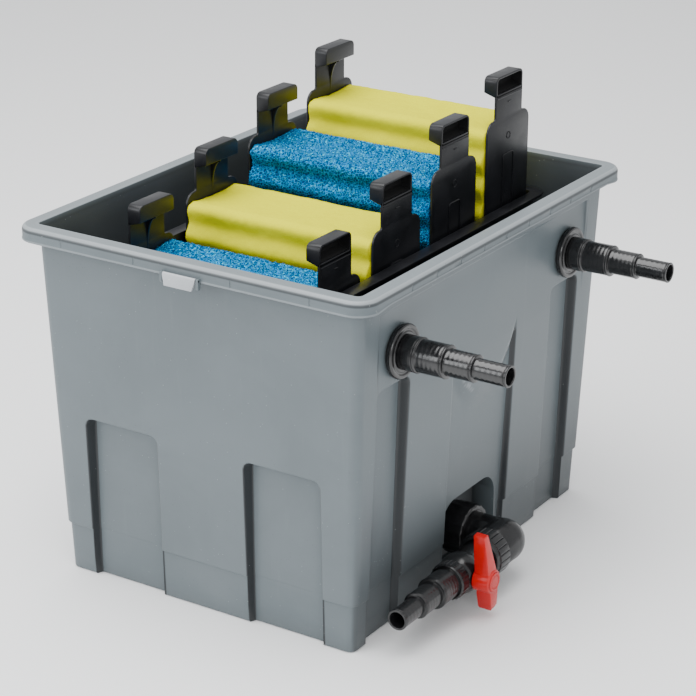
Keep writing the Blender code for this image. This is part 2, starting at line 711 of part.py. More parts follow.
def build_drain_wall(black, rubber):
    """The drain's bulkhead through the pocket wall, with its seals and nuts."""
    wall = wall_x(0) - POCKET_DEPTH

    def centre(x):
        return (x, DRAIN_Y, DRAIN_Z)

    ring("drain_gasket", rubber, along((1, 0, 0), centre(wall + GAP)), COLLAR_R - 0.004, THREAD_R + FIT,
         GASKET_T)
    back = wall + GASKET_T + 2 * GAP
    thread = back - (wall - WALL_T - NUT_T * 0.8 - 0.002)
    bm = bmesh.new()
    turned(bm, [(THREAD_R, -thread), (THREAD_R, 0.0), (COLLAR_R - 0.002, 0.0), (COLLAR_R - 0.002, 0.006),
                (THREAD_BORE, 0.006), (THREAD_BORE, -thread)], along((1, 0, 0), centre(back)))
    new_object("drain_bulkhead", bm, black, smooth=True)
    nut("drain_locknut", black, along((-1, 0, 0), centre(wall - WALL_T - GAP)), NUT_R, THREAD_R + FIT,
        NUT_T * 0.8)
    start = back + 0.006 + GAP
    bm = bmesh.new()
    lobes = 16
    outer_steps = lobes * 2
    rings = []
    for radius, x in ((COLLAR_R, start), (COLLAR_R, COLLAR_FRONT - 0.0012), (COLLAR_R - 0.001,
            COLLAR_FRONT)):
        points = []
        for i in range(outer_steps):
            turn = 2 * math.pi * i / outer_steps
            wave = radius - 0.0007 * (1 + math.cos(lobes * turn)) / 2
            points.append((x, DRAIN_Y + wave * math.cos(turn), DRAIN_Z + wave * math.sin(turn)))
        rings.append(points)
    bore = PIPE_R + FIT
    for x in (COLLAR_FRONT, start):
        rings.append([(x, DRAIN_Y + bore * math.cos(2 * math.pi * i / outer_steps),
                       DRAIN_Z + bore * math.sin(2 * math.pi * i / outer_steps)) for i in range(outer_steps)])
    loft(bm, rings, closed=True)
    new_object("drain_collar_nut", bm, black, smooth=True)
    return start


def build_elbow(start, black):
    """Elbow with a domed corner, out of the collar along +X and then towards -Y."""
    end = (UNION_Y[0] + UNION_Y[1]) / 2 + 0.006
    corner = (DRAIN_X, ELBOW_CORNER_Y, DRAIN_Z)
    neck = COLLAR_FRONT + 0.0008 - start
    bm = bmesh.new()
    turned(bm, [(PIPE_R, GAP), (PIPE_R, neck), (ELBOW_NECK_R, neck), (ELBOW_NECK_R, DRAIN_X - start)],
           along((1, 0, 0), (start, DRAIN_Y, DRAIN_Z)), 32, False)
    elbow = new_object("drain_elbow", bm, black, smooth=True)
    bm = bmesh.new()
    bmesh.ops.create_uvsphere(bm, u_segments=32, v_segments=20, radius=ELBOW_DOME_R)
    bmesh.ops.translate(bm, verts=bm.verts[:], vec=corner)
    boolean(elbow, new_object("elbow_dome", bm, None), "UNION")
    bm = bmesh.new()
    shoulder = corner[1] - UNION_Y[0] - GAP
    turned(bm, [(ELBOW_R, 0.0), (ELBOW_R, shoulder), (PIPE_R, shoulder), (PIPE_R, corner[1] - end)],
           along((0, -1, 0), corner), 32, False)
    boolean(elbow, new_object("elbow_run", bm, None), "UNION")
    bm = bmesh.new()
    turned(bm, [(PIPE_BORE, -0.01), (PIPE_BORE, DRAIN_X - start)],
           along((1, 0, 0), (start, DRAIN_Y, DRAIN_Z)), 32, False)
    boolean(elbow, new_object("elbow_bore_in", bm, None), "DIFFERENCE")
    bm = bmesh.new()
    bmesh.ops.create_uvsphere(bm, u_segments=32, v_segments=20, radius=PIPE_BORE + 0.0003)
    bmesh.ops.translate(bm, verts=bm.verts[:], vec=(DRAIN_X, DRAIN_Y, DRAIN_Z))
    boolean(elbow, new_object("elbow_bore_turn", bm, None), "DIFFERENCE")
    bm = bmesh.new()
    turned(bm, [(PIPE_BORE, 0.0), (PIPE_BORE, 0.06)],
           along((0, -1, 0), (DRAIN_X, DRAIN_Y, DRAIN_Z)), 32, False)
    boolean(elbow, new_object("elbow_bore_out", bm, None), "DIFFERENCE")
    return end


def build_valve(elbow_end, black, white, rubber):
    """Union nut, valve body with its seats, and the stepped hose tail."""

    def down(y):
        return along((0, -1, 0), (DRAIN_X, y, DRAIN_Z))

    body_start = elbow_end - GAP
    bm = bmesh.new()
    turned(bm, [(UNION_R, 0.0), (UNION_R, UNION_Y[0] - UNION_Y[1]), (PIPE_R + FIT,
            UNION_Y[0] - UNION_Y[1]), (PIPE_R + FIT, 0.0)],
           down(UNION_Y[0]))
    new_object("valve_union_nut", bm, black, smooth=True)
    bulge = []
    for i in range(9):
        turn = math.radians(-27.0 + 61.0 * i / 8)
        bulge.append((VALVE_R * math.cos(turn), body_start - VALVE_Y + VALVE_R * math.sin(turn)))
    cavity = BALL_R + 0.0006
    inside = []
    mouth = math.asin((BALL_BORE + 0.004) / cavity)
    for i in range(7):
        turn = (math.pi / 2 - mouth) * (1 - 2 * i / 6)
        inside.append((cavity * math.cos(turn), body_start - VALVE_Y + cavity * math.sin(turn)))
    seat = BALL_BORE + 0.004
    spigot = TAIL_NUT_R - 0.0032
    finish = body_start - (TAIL_NUT_Y[1] + 0.0055)
    profile = [(PIPE_R, 0.0)] + bulge + [(spigot, body_start - TAIL_NUT_Y[0] - 0.003), (spigot, finish),
               (seat, finish)] + inside + [(seat, 0.0)]
    bm = bmesh.new()
    turned(bm, profile, down(body_start))
    body = new_object("valve_body", bm, black, smooth=True)
    boss_x = DRAIN_X + VALVE_R + 0.0005
    bm = bmesh.new()
    turned(bm, [(0.0095, 0.0), (0.0095, boss_x - DRAIN_X - 0.020)], along((1, 0, 0), (DRAIN_X + 0.020,
            VALVE_Y, DRAIN_Z)), 24, False)
    boolean(body, new_object("stem_boss", bm, None), "UNION")
    bm = bmesh.new()
    turned(bm, [(STEM_R + FIT, 0.0), (STEM_R + FIT, 0.04)], along((1, 0, 0), (DRAIN_X + 0.010, VALVE_Y,
            DRAIN_Z)), 20, False)
    boolean(body, new_object("stem_hole", bm, None), "DIFFERENCE")
    bm = bmesh.new()
    turned(bm, [(0.0077, 0.0), (0.0077, 0.02)], along((1, 0, 0), (boss_x - 0.003, VALVE_Y, DRAIN_Z)),
           20, False)
    boolean(body, new_object("seal_seat", bm, None), "DIFFERENCE")
    ring("stem_seal", rubber, along((1, 0, 0), (boss_x - 0.003 + GAP, VALVE_Y, DRAIN_Z)), 0.0074,
         STEM_R + FIT, 0.0024)
    bore = BALL_BORE + 0.0005
    for name, sign in (("inlet_seat", 1), ("outlet_seat", -1)):
        face = VALVE_Y + sign * (math.sqrt(BALL_R ** 2 - bore ** 2) + 0.0006)
        ring(name, white, along((0, sign, 0), (DRAIN_X, face, DRAIN_Z)), seat - GAP, bore, 0.0030)
    ring("tail_nut", black, down(TAIL_NUT_Y[0]), TAIL_NUT_R, spigot + FIT, TAIL_NUT_Y[0] - TAIL_NUT_Y[1])
    root = body_start - finish - GAP
    first = root - TAIL_NUT_Y[1]
    steps = ((spigot, first),) + ((TAIL_STEPS[1][0], TAIL_STEPS[1][1] - 0.0015),) + TAIL_STEPS[2:]
    bm = bmesh.new()
    turned(bm, tail_profile(steps, TAIL_BORE), down(root))
    new_object("drain_hose_tail", bm, black, smooth=True)
    return boss_x


def section(inner, outer, half, height):
    """One flat section of a lever arm, in the lever's own frame."""
    return [Vector((x, y, height)) for x, y in ((inner, -half), (outer, -half), (outer, half), (inner,
            half))]


def build_handle(boss_x, red, steel, white):
    """Ball, stem, lever and cap, which turn together about the stem."""
    pivot = (DRAIN_X, VALVE_Y, DRAIN_Z)
    tilt = Matrix.Translation(pivot) @ Matrix.Rotation(math.radians(LEVER_TILT), 4, "X")
    bm = bmesh.new()
    bmesh.ops.create_uvsphere(bm, u_segments=28, v_segments=16, radius=BALL_R)
    bmesh.ops.transform(bm, matrix=tilt, verts=bm.verts[:])
    ball = new_object("valve_ball", bm, white, pivot, smooth=True)
    bm = bmesh.new()
    turned(bm, [(BALL_BORE, -0.03), (BALL_BORE, 0.03)], tilt, 24, False)
    boolean(ball, new_object("ball_bore", bm, None), "DIFFERENCE")
    hub_start, hub_end = boss_x + 2 * GAP, DRAIN_X + HUB_END
    bm = bmesh.new()
    turned(bm, [(STEM_R, BALL_R + GAP), (STEM_R, hub_start + 0.006 - DRAIN_X)], along((1, 0, 0), pivot),
           20, False)
    new_object("valve_stem", bm, steel, pivot, smooth=True)
    bm = bmesh.new()
    turned(bm, [(HUB_R, HUB_SKIRT), (HUB_R, HUB_END - 0.0015), (HUB_R - 0.0015, HUB_END)],
           along((1, 0, 0), pivot), 32, False)
    lever = new_object("valve_handle", bm, red, pivot, smooth=True)
    inside = hub_start - DRAIN_X
    arms = (("upper_arm", LEVER_UP, 0.0045, 1), ("lower_arm", LEVER_DOWN, 0.0065, -1))
    for (name, reach, thick, sign), inner, outer in zip(arms, LEVER_IN, LEVER_OUT):
        root = section(inside + 0.0006, HUB_END - 0.003, HUB_R * 0.66, 0.0)
        neck = section(inner, LEVER_ROOT_OUT, HUB_R * 0.64, sign * HUB_R * 0.9)
        tip = section(inner, outer, thick, sign * (reach - 0.003))
        end = section(inner + 0.002, outer - 0.002, thick - 0.002, sign * reach)
        bm = bmesh.new()
        loft(bm, [[tilt @ point for point in ring] for ring in (root, neck, tip, end)])
        boolean(lever, new_object(name, bm, None), "UNION")
    bm = bmesh.new()
    turned(bm, [(HUB_R - 0.0006, HUB_SKIRT - 0.0004), (HUB_BORE_R, HUB_SKIRT + 0.0022), (HUB_BORE_R, inside)],
           along((1, 0, 0), pivot), 32, False)
    boolean(lever, new_object("boss_room", bm, None), "DIFFERENCE")
    bm = bmesh.new()
    turned(bm, [(STEM_R + FIT, 0.0), (STEM_R + FIT, 0.0065 + 2 * GAP)],
           along((1, 0, 0), (hub_start - 0.0005, VALVE_Y, DRAIN_Z)), 20, False)
    boolean(lever, new_object("stem_socket", bm, None), "DIFFERENCE")
    bm = bmesh.new()
    turned(bm, [(CAP_R, 0.0), (CAP_R - 0.0006, 0.0012)],
           along((1, 0, 0), (hub_end + GAP, VALVE_Y, DRAIN_Z)), 28, False)
    new_object("handle_cap", bm, red, pivot, smooth=True)


# ---- the whole filter ---------------------------------------------------------------------
def main():
    for obj in list(bpy.data.objects):
        bpy.data.objects.remove(obj, do_unlink=True)
    grey = plastic("tub_grey", (0.25, 0.28, 0.29), 0.45)
    light_grey = plastic("clip_grey", (0.55, 0.58, 0.60), 0.45)
    black = plastic("black_plastic", (0.012, 0.012, 0.013), 0.35)
    rubber = plastic("rubber", (0.02, 0.02, 0.02), 0.7)
    yellow = plastic("yellow_foam", (0.85, 0.78, 0.03), 0.95)
    blue = plastic("blue_foam", (0.03, 0.30, 0.60), 0.95)
    red = plastic("red_plastic", (0.60, 0.02, 0.01), 0.35)
    white = plastic("valve_white", (0.75, 0.75, 0.72), 0.4)
    steel = plastic("stem_grey", (0.3, 0.3, 0.31), 0.4)
    build_tub(grey)
    build_clips(light_grey, black)
    build_tray(black)
    build_grid(black)
    for i in range(MODULES):
        y = (i - (MODULES - 1) / 2) * MODULE_PITCH
        foam = (blue, "blue_foam") if i % 2 == 0 else (yellow, "yellow_foam")
        build_cartridge(i + 1, y, SEATED_TOP + LIFTS[i], black, foam[0], foam[1])
    build_fitting("inlet", FITTING_Y, black, rubber)
    build_fitting("outlet", -FITTING_Y, black, rubber)
    collar_start = build_drain_wall(black, rubber)
    elbow_end = build_elbow(collar_start, black)
    boss_x = build_valve(elbow_end, black, white, rubber)
    build_handle(boss_x, red, steel, white)


main()
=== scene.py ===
"""Looks of the multi-chamber pond box filter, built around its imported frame.
Metres, +Z up, the origin at the centre of the tub's underside."""

import math

import bmesh
import bpy
import numpy as np
from mathutils import Matrix, Vector


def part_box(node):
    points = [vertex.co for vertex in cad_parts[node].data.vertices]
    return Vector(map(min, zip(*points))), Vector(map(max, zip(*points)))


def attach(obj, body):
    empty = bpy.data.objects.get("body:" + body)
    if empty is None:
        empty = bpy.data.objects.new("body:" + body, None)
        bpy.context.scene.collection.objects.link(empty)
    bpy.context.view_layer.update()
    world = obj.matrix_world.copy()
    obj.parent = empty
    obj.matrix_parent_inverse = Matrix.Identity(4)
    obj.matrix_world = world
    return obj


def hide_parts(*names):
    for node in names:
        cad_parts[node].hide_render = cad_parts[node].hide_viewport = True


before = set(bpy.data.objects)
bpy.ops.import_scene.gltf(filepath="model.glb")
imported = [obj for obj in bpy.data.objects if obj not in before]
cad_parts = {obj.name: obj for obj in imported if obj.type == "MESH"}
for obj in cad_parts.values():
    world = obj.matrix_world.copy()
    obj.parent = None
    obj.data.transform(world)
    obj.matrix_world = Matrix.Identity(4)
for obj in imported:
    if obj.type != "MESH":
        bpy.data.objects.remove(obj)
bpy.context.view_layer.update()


# ---- places taken from the frame ------------------------------------------------------------
TUB_LOW, TUB_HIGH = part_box("tub")
RIM_X = TUB_HIGH.x                      # half sizes over the rim
RIM_Y = 0.295
TUB_H = TUB_HIGH.z
WALL_IN = 0.0178                        # wall top sits this far inside the rim
WALL_T = 0.004
DRAFT_X = 0.0151
DRAFT_Y = 0.0148
RIM_DROP = 0.0175
RIM_LEDGE = 0.0198
BAND_H = 0.059
BAND_IN = 0.003
LAND_X = 0.2110                         # flat upright land that the fittings seat on
LAND_Y = 0.237
LAND_TOP = TUB_H - 0.033
POCKET_Y = -0.006
POCKET_HALF = 0.0625
POCKET_LOW = 0.0075
POCKET_TOP = 0.103
POCKET_R = 0.030
POCKET_BACK = 0.1651
FITTING_Y = 0.1915
FITTING_Z = TUB_H - 0.0875
THREAD_R = 0.0195
DRAIN = Vector((0.2437, -0.104, 0.048))  # centre of the valve; the drain line runs along Y
DRAIN_Y = -0.003                         # where the drain leaves the tub wall
LEVER_TILT = math.radians(9.0)


# ---- mesh helpers ---------------------------------------------------------------------------
def link(name, mesh, *materials):
    """Puts a mesh in the scene as one object at the origin."""
    obj = bpy.data.objects.new(name, mesh)
    for material in materials:
        mesh.materials.append(material)
    bpy.context.scene.collection.objects.link(obj)
    return obj


def grid_mesh(name, points, quads, smooth_angle=None):
    """A mesh from arrays of points and quads."""
    mesh = bpy.data.meshes.new(name)
    mesh.from_pydata([tuple(p) for p in points], [], [tuple(q) for q in quads])
    mesh.update()
    mesh.shade_smooth()
    if smooth_angle:
        mesh.set_sharp_from_angle(angle=math.radians(smooth_angle))
    return mesh


def tube_quads(rows, columns, closed):
    """Quads that skin rows of points, each row a closed loop."""
    quads = []
    for r in range(rows if closed else rows - 1):
        s = (r + 1) % rows
        for c in range(columns):
            d = (c + 1) % columns
            quads.append((r * columns + c, r * columns + d, s * columns + d, s * columns + c))
    return quads


def outward(mesh):
    """Turns every face of a closed mesh outwards."""
    bm = bmesh.new()
    bm.from_mesh(mesh)
    bmesh.ops.recalc_face_normals(bm, faces=bm.faces[:])
    bm.to_mesh(mesh)
    bm.free()
    return mesh


def skinned(name, rings, closed=False, smooth_angle=35):
    """A closed body skinned over equal rings of points; open ones get a cap at each end."""
    columns = len(rings[0])
    points = [p for ring in rings for p in ring]
    faces = tube_quads(len(rings), columns, closed)
    if not closed:
        faces.append(tuple(range(columns)))
        faces.append(tuple(range(len(points) - columns, len(points))))
    return outward(grid_mesh(name, points, faces, smooth_angle))


def softened(profile, default=0.0006, arc=3):
    """A closed profile whose corners are rounded; a third number on a point is its own radius."""
    count = len(profile)
    out = []
    for i, corner in enumerate(profile):
        here = Vector(corner[:2])
        before = Vector(profile[i - 1][:2]) - here
        after = Vector(profile[(i + 1) % count][:2]) - here
        radius = corner[2] if len(corner) > 2 else default
        cut = min(radius, before.length * 0.45, after.length * 0.45)
        if cut < 0.00004 or before.length < 1e-7 or after.length < 1e-7:
            out.append(tuple(here))
            continue
        first = here + before.normalized() * cut
        last = here + after.normalized() * cut
        for k in range(arc + 1):
            t = k / arc
            out.append(tuple(first * (1 - t) ** 2 + here * 2 * t * (1 - t) + last * t * t))
    return out


def turned(name, profile, steps=96, shape=None, default=0.0006):
    """A body turned about Z from a closed profile of (radius, height)."""
    points = softened(profile, default)
    turns = [2 * math.pi * i / steps for i in range(steps)]
    rings = []
    for radius, height in points:
        radii = [shape(radius, height, t) if shape else radius for t in turns]
        rings.append([(r * math.cos(t), r * math.sin(t), height) for r, t in zip(radii, turns)])
    return skinned(name, rings, closed=True, smooth_angle=42)


def rod(name, stops, steps=96):
    """A solid turned about Z through (radius, height) stops, flat at both ends."""
    turns = [2 * math.pi * i / steps for i in range(steps)]
    rings = [[(r * math.cos(t), r * math.sin(t), z) for t in turns] for r, z in stops]
    return skinned(name, rings, smooth_angle=42)


def along(axis, point):
    """A place whose Z runs along the axis from the point."""
    return Matrix.Translation(point) @ Vector(axis).to_track_quat("Z", "Y").to_matrix().to_4x4()


def joined(name, meshes):
    """Several meshes as one."""
    bm = bmesh.new()
    for mesh in meshes:
        bm.from_mesh(mesh)
    out = bpy.data.meshes.new(name)
    bm.to_mesh(out)
    bm.free()
    return out


def moved(mesh, matrix):
    mesh.transform(matrix)
    if matrix.determinant() < 0:
        mesh.flip_normals()
    mesh.update()
    return mesh


def modified(mesh, kind, **values):
    """The mesh after one modifier."""
    obj = bpy.data.objects.new("work", mesh)
    bpy.context.scene.collection.objects.link(obj)
    modifier = obj.modifiers.new("work", kind)
    for key, value in values.items():
        setattr(modifier, key, value)
    graph = bpy.context.evaluated_depsgraph_get()
    out = bpy.data.meshes.new_from_object(obj.evaluated_get(graph), depsgraph=graph)
    bpy.data.objects.remove(obj)
    return out


def bevelled(mesh, width, segments=3, angle=30):
    out = modified(mesh, "BEVEL", width=width, segments=segments, limit_method="ANGLE",
                   angle_limit=math.radians(angle), use_clamp_overlap=True)
    out.shade_smooth()
    out.set_sharp_from_angle(angle=math.radians(38))
    return out


def boolean(mesh, other, operation):
    """The mesh cut by or joined to another closed mesh."""
    cutter = bpy.data.objects.new("cutter", other)
    bpy.context.scene.collection.objects.link(cutter)
    out = modified(mesh, "BOOLEAN", operation=operation, solver="EXACT", object=cutter)
    bpy.data.objects.remove(cutter)
    return out


def prism(name, outline, axis, start, end):
    """A straight body over a flat outline; the outline's numbers are the other two axes in order."""
    def spot(u, v, w):
        return {"x": (w, u, v), "y": (u, w, v), "z": (u, v, w)}[axis]
    rings = [[spot(u, v, start) for u, v in outline], [spot(u, v, end) for u, v in outline]]
    return skinned(name, rings)


def merged_node(node, width, segments=2):
    """A copy of a frame node with its loose faces merged and its edges rounded."""
    bm = bmesh.new()
    bm.from_mesh(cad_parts[node].data)
    bmesh.ops.remove_doubles(bm, verts=bm.verts[:], dist=1e-6)
    bmesh.ops.dissolve_limit(bm, angle_limit=math.radians(1.0), verts=bm.verts[:], edges=bm.edges[:])
    mesh = bpy.data.meshes.new(node + "_merged")
    bm.to_mesh(mesh)
    bm.free()
    return bevelled(mesh, width, segments, 32)


def arched(half, low, high, radius, steps=8):
    """Outline with an upright bottom and rounded top corners."""
    points = [(-half, low), (half, low)]
    for sign in (1, -1):
        for i in range(steps + 1):
            turn = math.pi / 2 * i / steps
            side = math.cos(turn) if sign > 0 else math.sin(turn)
            rise = math.sin(turn) if sign > 0 else math.cos(turn)
            points.append((sign * (half - radius + radius * side), high - radius + radius * rise))
    return points


def noise_hash(cell, seed):
    """Repeatable random numbers in 0..1 for whole-number cells, three for each."""
    h = cell[..., 0] * 73856093 ^ cell[..., 1] * 19349663 ^ cell[..., 2] * 83492791 ^ seed * 40503
    out = []
    for k in range(3):
        g = (h + k * 97531) & 0xFFFFFFFF
        g = ((g ^ (g >> 16)) * 0x45D9F3B) & 0xFFFFFFFF
        g = ((g ^ (g >> 16)) * 0x45D9F3B) & 0xFFFFFFFF
        out.append(((g ^ (g >> 16)) & 0xFFFFFF) / float(0xFFFFFF))
    return np.stack(out, -1)


def cell_gaps(points, size, seed):
    """Distances to the nearest and second nearest cell centres, in cell sizes."""
    place = points / size
    base = np.floor(place).astype(np.int64)
    near = np.full(len(points), 9.0)
    second = np.full(len(points), 9.0)
    for offset in np.ndindex(3, 3, 3):
        cell = base + np.array(offset) - 1
        centre = cell + noise_hash(cell, seed)
        gap = np.sqrt(((place - centre) ** 2).sum(-1))
        second = np.minimum(second, np.maximum(near, gap))
        near = np.minimum(near, gap)
    return near, second


def value_noise(points, size, seed):
    """Smooth noise in -1..1."""
    place = points / size
    base = np.floor(place).astype(np.int64)
    part = place - base
    part = part * part * (3 - 2 * part)
    total = np.zeros(len(points))
    for offset in np.ndindex(2, 2, 2):
        corner = np.array(offset)
        weight = np.prod(np.where(corner == 1, part, 1 - part), axis=-1)
        total += weight * noise_hash(base + corner, seed)[..., 0]
    return total * 2 - 1


# ---- finishes -------------------------------------------------------------------------------
class Graph:
    """Short ways to add and join nodes in one tree."""

    def __init__(self, tree):
        self.tree = tree

    def add(self, kind, inputs=None, **settings):
        node = self.tree.nodes.new(kind)
        for key, value in settings.items():
            setattr(node, key, value)
        for key, value in (inputs or {}).items():
            if isinstance(value, bpy.types.NodeSocket):
                self.tree.links.new(value, node.inputs[key])
            else:
                node.inputs[key].default_value = value
        return node

    def math(self, operation, first, second=0.0, clamp=False):
        return self.add("ShaderNodeMath", {0: first, 1: second}, operation=operation, use_clamp=clamp).outputs[0]

    def spread(self, value, low, high, to_low=0.0, to_high=1.0):
        """Maps a value's range onto another, clamped and smooth."""
        inputs = {"Value": value, "From Min": low, "From Max": high, "To Min": to_low, "To Max": to_high}
        return self.add("ShaderNodeMapRange", inputs, interpolation_type="SMOOTHSTEP").outputs["Result"]

    def mix(self, share, first, second, blend="MIX"):
        node = self.add("ShaderNodeMix", data_type="RGBA", blend_type=blend)
        for key, value in ((0, share), (6, first), (7, second)):
            if isinstance(value, bpy.types.NodeSocket):
                self.tree.links.new(value, node.inputs[key])
            else:
                node.inputs[key].default_value = value
        return node.outputs[2]


def effect(name, inputs, outputs):
    """An empty shader group with named inputs and outputs, and its graph."""
    tree = bpy.data.node_groups.new(name, "ShaderNodeTree")
    for label, default in inputs:
        kind = "NodeSocketVector" if default is None else "NodeSocketFloat"
        socket = tree.interface.new_socket(label, in_out="INPUT", socket_type=kind)
        if default is not None:
            socket.default_value = default
    for label in outputs:
        tree.interface.new_socket(label, in_out="OUTPUT", socket_type="NodeSocketFloat")
    graph = Graph(tree)
    return tree, graph, graph.add("NodeGroupInput"), graph.add("NodeGroupOutput")


def moulded_grain():
    """Moulded plastic: broad cloudiness, flow marks, tiny specks and fine grain."""
    tree, g, given, made = effect(
        "moulded_grain", [("Place", None), ("Cloud Size", 9.0), ("Speck Size", 260.0), ("Grain Size", 2200.0)],
        ["Cloud", "Light Specks", "Dark Specks", "Grain"])
    place = given.outputs["Place"]
    cloud = g.add("ShaderNodeTexNoise", {"Vector": place, "Scale": given.outputs["Cloud Size"], "Detail": 5.0,
                                         "Roughness": 0.6, "Distortion": 0.4})
    made_cloud = g.spread(cloud.outputs["Fac"], 0.3, 0.7)
    specks = g.add("ShaderNodeTexVoronoi", {"Vector": place, "Scale": given.outputs["Speck Size"], "Randomness": 1.0})
    dot = g.spread(specks.outputs["Distance"], 0.08, 0.2, 1.0, 0.0)
    pick = g.add("ShaderNodeSeparateColor", {0: specks.outputs["Color"]})
    light = g.math("MULTIPLY", dot, g.math("GREATER_THAN", pick.outputs[0], 0.965))
    dark = g.math("MULTIPLY", dot, g.math("LESS_THAN", pick.outputs[1], 0.04))
    grain = g.add("ShaderNodeTexNoise", {"Vector": place, "Scale": given.outputs["Grain Size"], "Detail": 3.0,
                                         "Roughness": 0.65})
    for label, socket in (("Cloud", made_cloud), ("Light Specks", light), ("Dark Specks", dark),
                          ("Grain", grain.outputs["Fac"])):
        tree.links.new(socket, made.inputs[label])
    return tree


def foam_cells():
    """Open-cell foam: bright struts round dark cells, with broad shading."""
    tree, g, given, made = effect(
        "foam_cells", [("Place", None), ("Cells", 400.0), ("Strut", 0.16), ("Warp", 0.25)],
        ["Struts", "Flecks", "Cloud", "Height"])
    place = given.outputs["Place"]
    wobble = g.add("ShaderNodeTexNoise", {"Vector": place, "Scale": given.outputs["Cells"], "Detail": 1.0})
    shift = g.add("ShaderNodeVectorMath", {0: wobble.outputs["Color"], 1: (0.5, 0.5, 0.5)}, operation="SUBTRACT")
    reach = g.math("DIVIDE", given.outputs["Warp"], given.outputs["Cells"])
    scaled = g.add("ShaderNodeVectorMath", {0: shift.outputs[0], "Scale": reach}, operation="SCALE")
    warped = g.add("ShaderNodeVectorMath", {0: place, 1: scaled.outputs[0]}, operation="ADD").outputs[0]
    cells = g.add("ShaderNodeTexVoronoi", {"Vector": warped, "Scale": given.outputs["Cells"]},
                  feature="DISTANCE_TO_EDGE")
    struts = g.spread(cells.outputs["Distance"], 0.02, given.outputs["Strut"], 1.0, 0.0)
    fleck = g.add("ShaderNodeTexNoise", {"Vector": warped, "Scale": g.math("MULTIPLY", given.outputs["Cells"], 1.2),
                                         "Detail": 2.0, "Roughness": 0.7})
    cloud = g.add("ShaderNodeTexNoise", {"Vector": place, "Scale": 28.0, "Detail": 4.0, "Roughness": 0.6})
    for label, socket in (("Struts", struts), ("Flecks", g.spread(fleck.outputs["Fac"], 0.52, 0.68)),
                          ("Cloud", cloud.outputs["Fac"]),
                          ("Height", g.math("ADD", struts, g.math("MULTIPLY", fleck.outputs["Fac"], 0.6)))):
        tree.links.new(socket, made.inputs[label])
    return tree


GRAIN = moulded_grain()
CELLS = foam_cells()


def new_material(name, **sockets):
    """A Principled material with its constant values set; returns it with its graph and shader."""
    material = bpy.data.materials.new(name)
    material.use_nodes = True
    shader = material.node_tree.nodes["Principled BSDF"]
    for label, value in sockets.items():
        shader.inputs[label.replace("_", " ")].default_value = value
    return material, Graph(material.node_tree), shader


def grain_node(g, cloud, speck, grain):
    place = g.add("ShaderNodeTexCoord").outputs["Object"]
    return g.add("ShaderNodeGroup", {"Place": place, "Cloud Size": cloud, "Speck Size": speck, "Grain Size": grain},
                 node_tree=GRAIN)


def bumped(g, shader, height, strength, distance, normal=None):
    inputs = {"Height": height, "Strength": strength, "Distance": distance}
    if normal is not None:
        inputs["Normal"] = normal
    bump = g.add("ShaderNodeBump", inputs)
    g.tree.links.new(bump.outputs[0], shader.inputs["Normal"])
    return bump.outputs[0]


def moulded(name, dark, light, fleck, rough, spread=0.08, bump=0.12, speck=260.0, grain=2200.0, cloud=9.0,
            wave=0.0, **sockets):
    """Moulded plastic between two tints, with specks, grain, uneven gloss, and painted shade wherever a mesh's hollow
    attribute is set.
    """
    material, g, shader = new_material(name, **sockets)
    parts = grain_node(g, cloud, speck, grain)
    base = g.mix(parts.outputs["Cloud"], (*dark, 1.0), (*light, 1.0))
    base = g.mix(g.math("MULTIPLY", parts.outputs["Light Specks"], 0.8), base, (*fleck, 1.0))
    base = g.mix(g.math("MULTIPLY", parts.outputs["Dark Specks"], 0.5), base, (*[c * 0.35 for c in dark], 1.0))
    # Painted shade: where the hollow attribute is set the colour darkens to a fifth and the gloss drops.
    hollow = g.add("ShaderNodeAttribute", attribute_name="hollow").outputs["Fac"]
    base = g.mix(hollow, base, (*[c * 0.2 for c in dark], 1.0))
    g.tree.links.new(base, shader.inputs["Base Color"])
    gloss = g.spread(parts.outputs["Cloud"], 0.0, 1.0, rough - spread / 2, rough + spread / 2)
    gloss = g.math("ADD", gloss, g.math("MULTIPLY", hollow, 0.5))
    g.tree.links.new(gloss, shader.inputs["Roughness"])
    height = parts.outputs["Grain"]
    if wave:
        place = g.add("ShaderNodeTexCoord").outputs["Object"]
        sink = g.add("ShaderNodeTexNoise", {"Vector": place, "Scale": 32.0, "Detail": 2.0})
        height = g.math("ADD", height, g.math("MULTIPLY", sink.outputs["Fac"], wave))
    bumped(g, shader, height, bump, 0.0004)
    return material


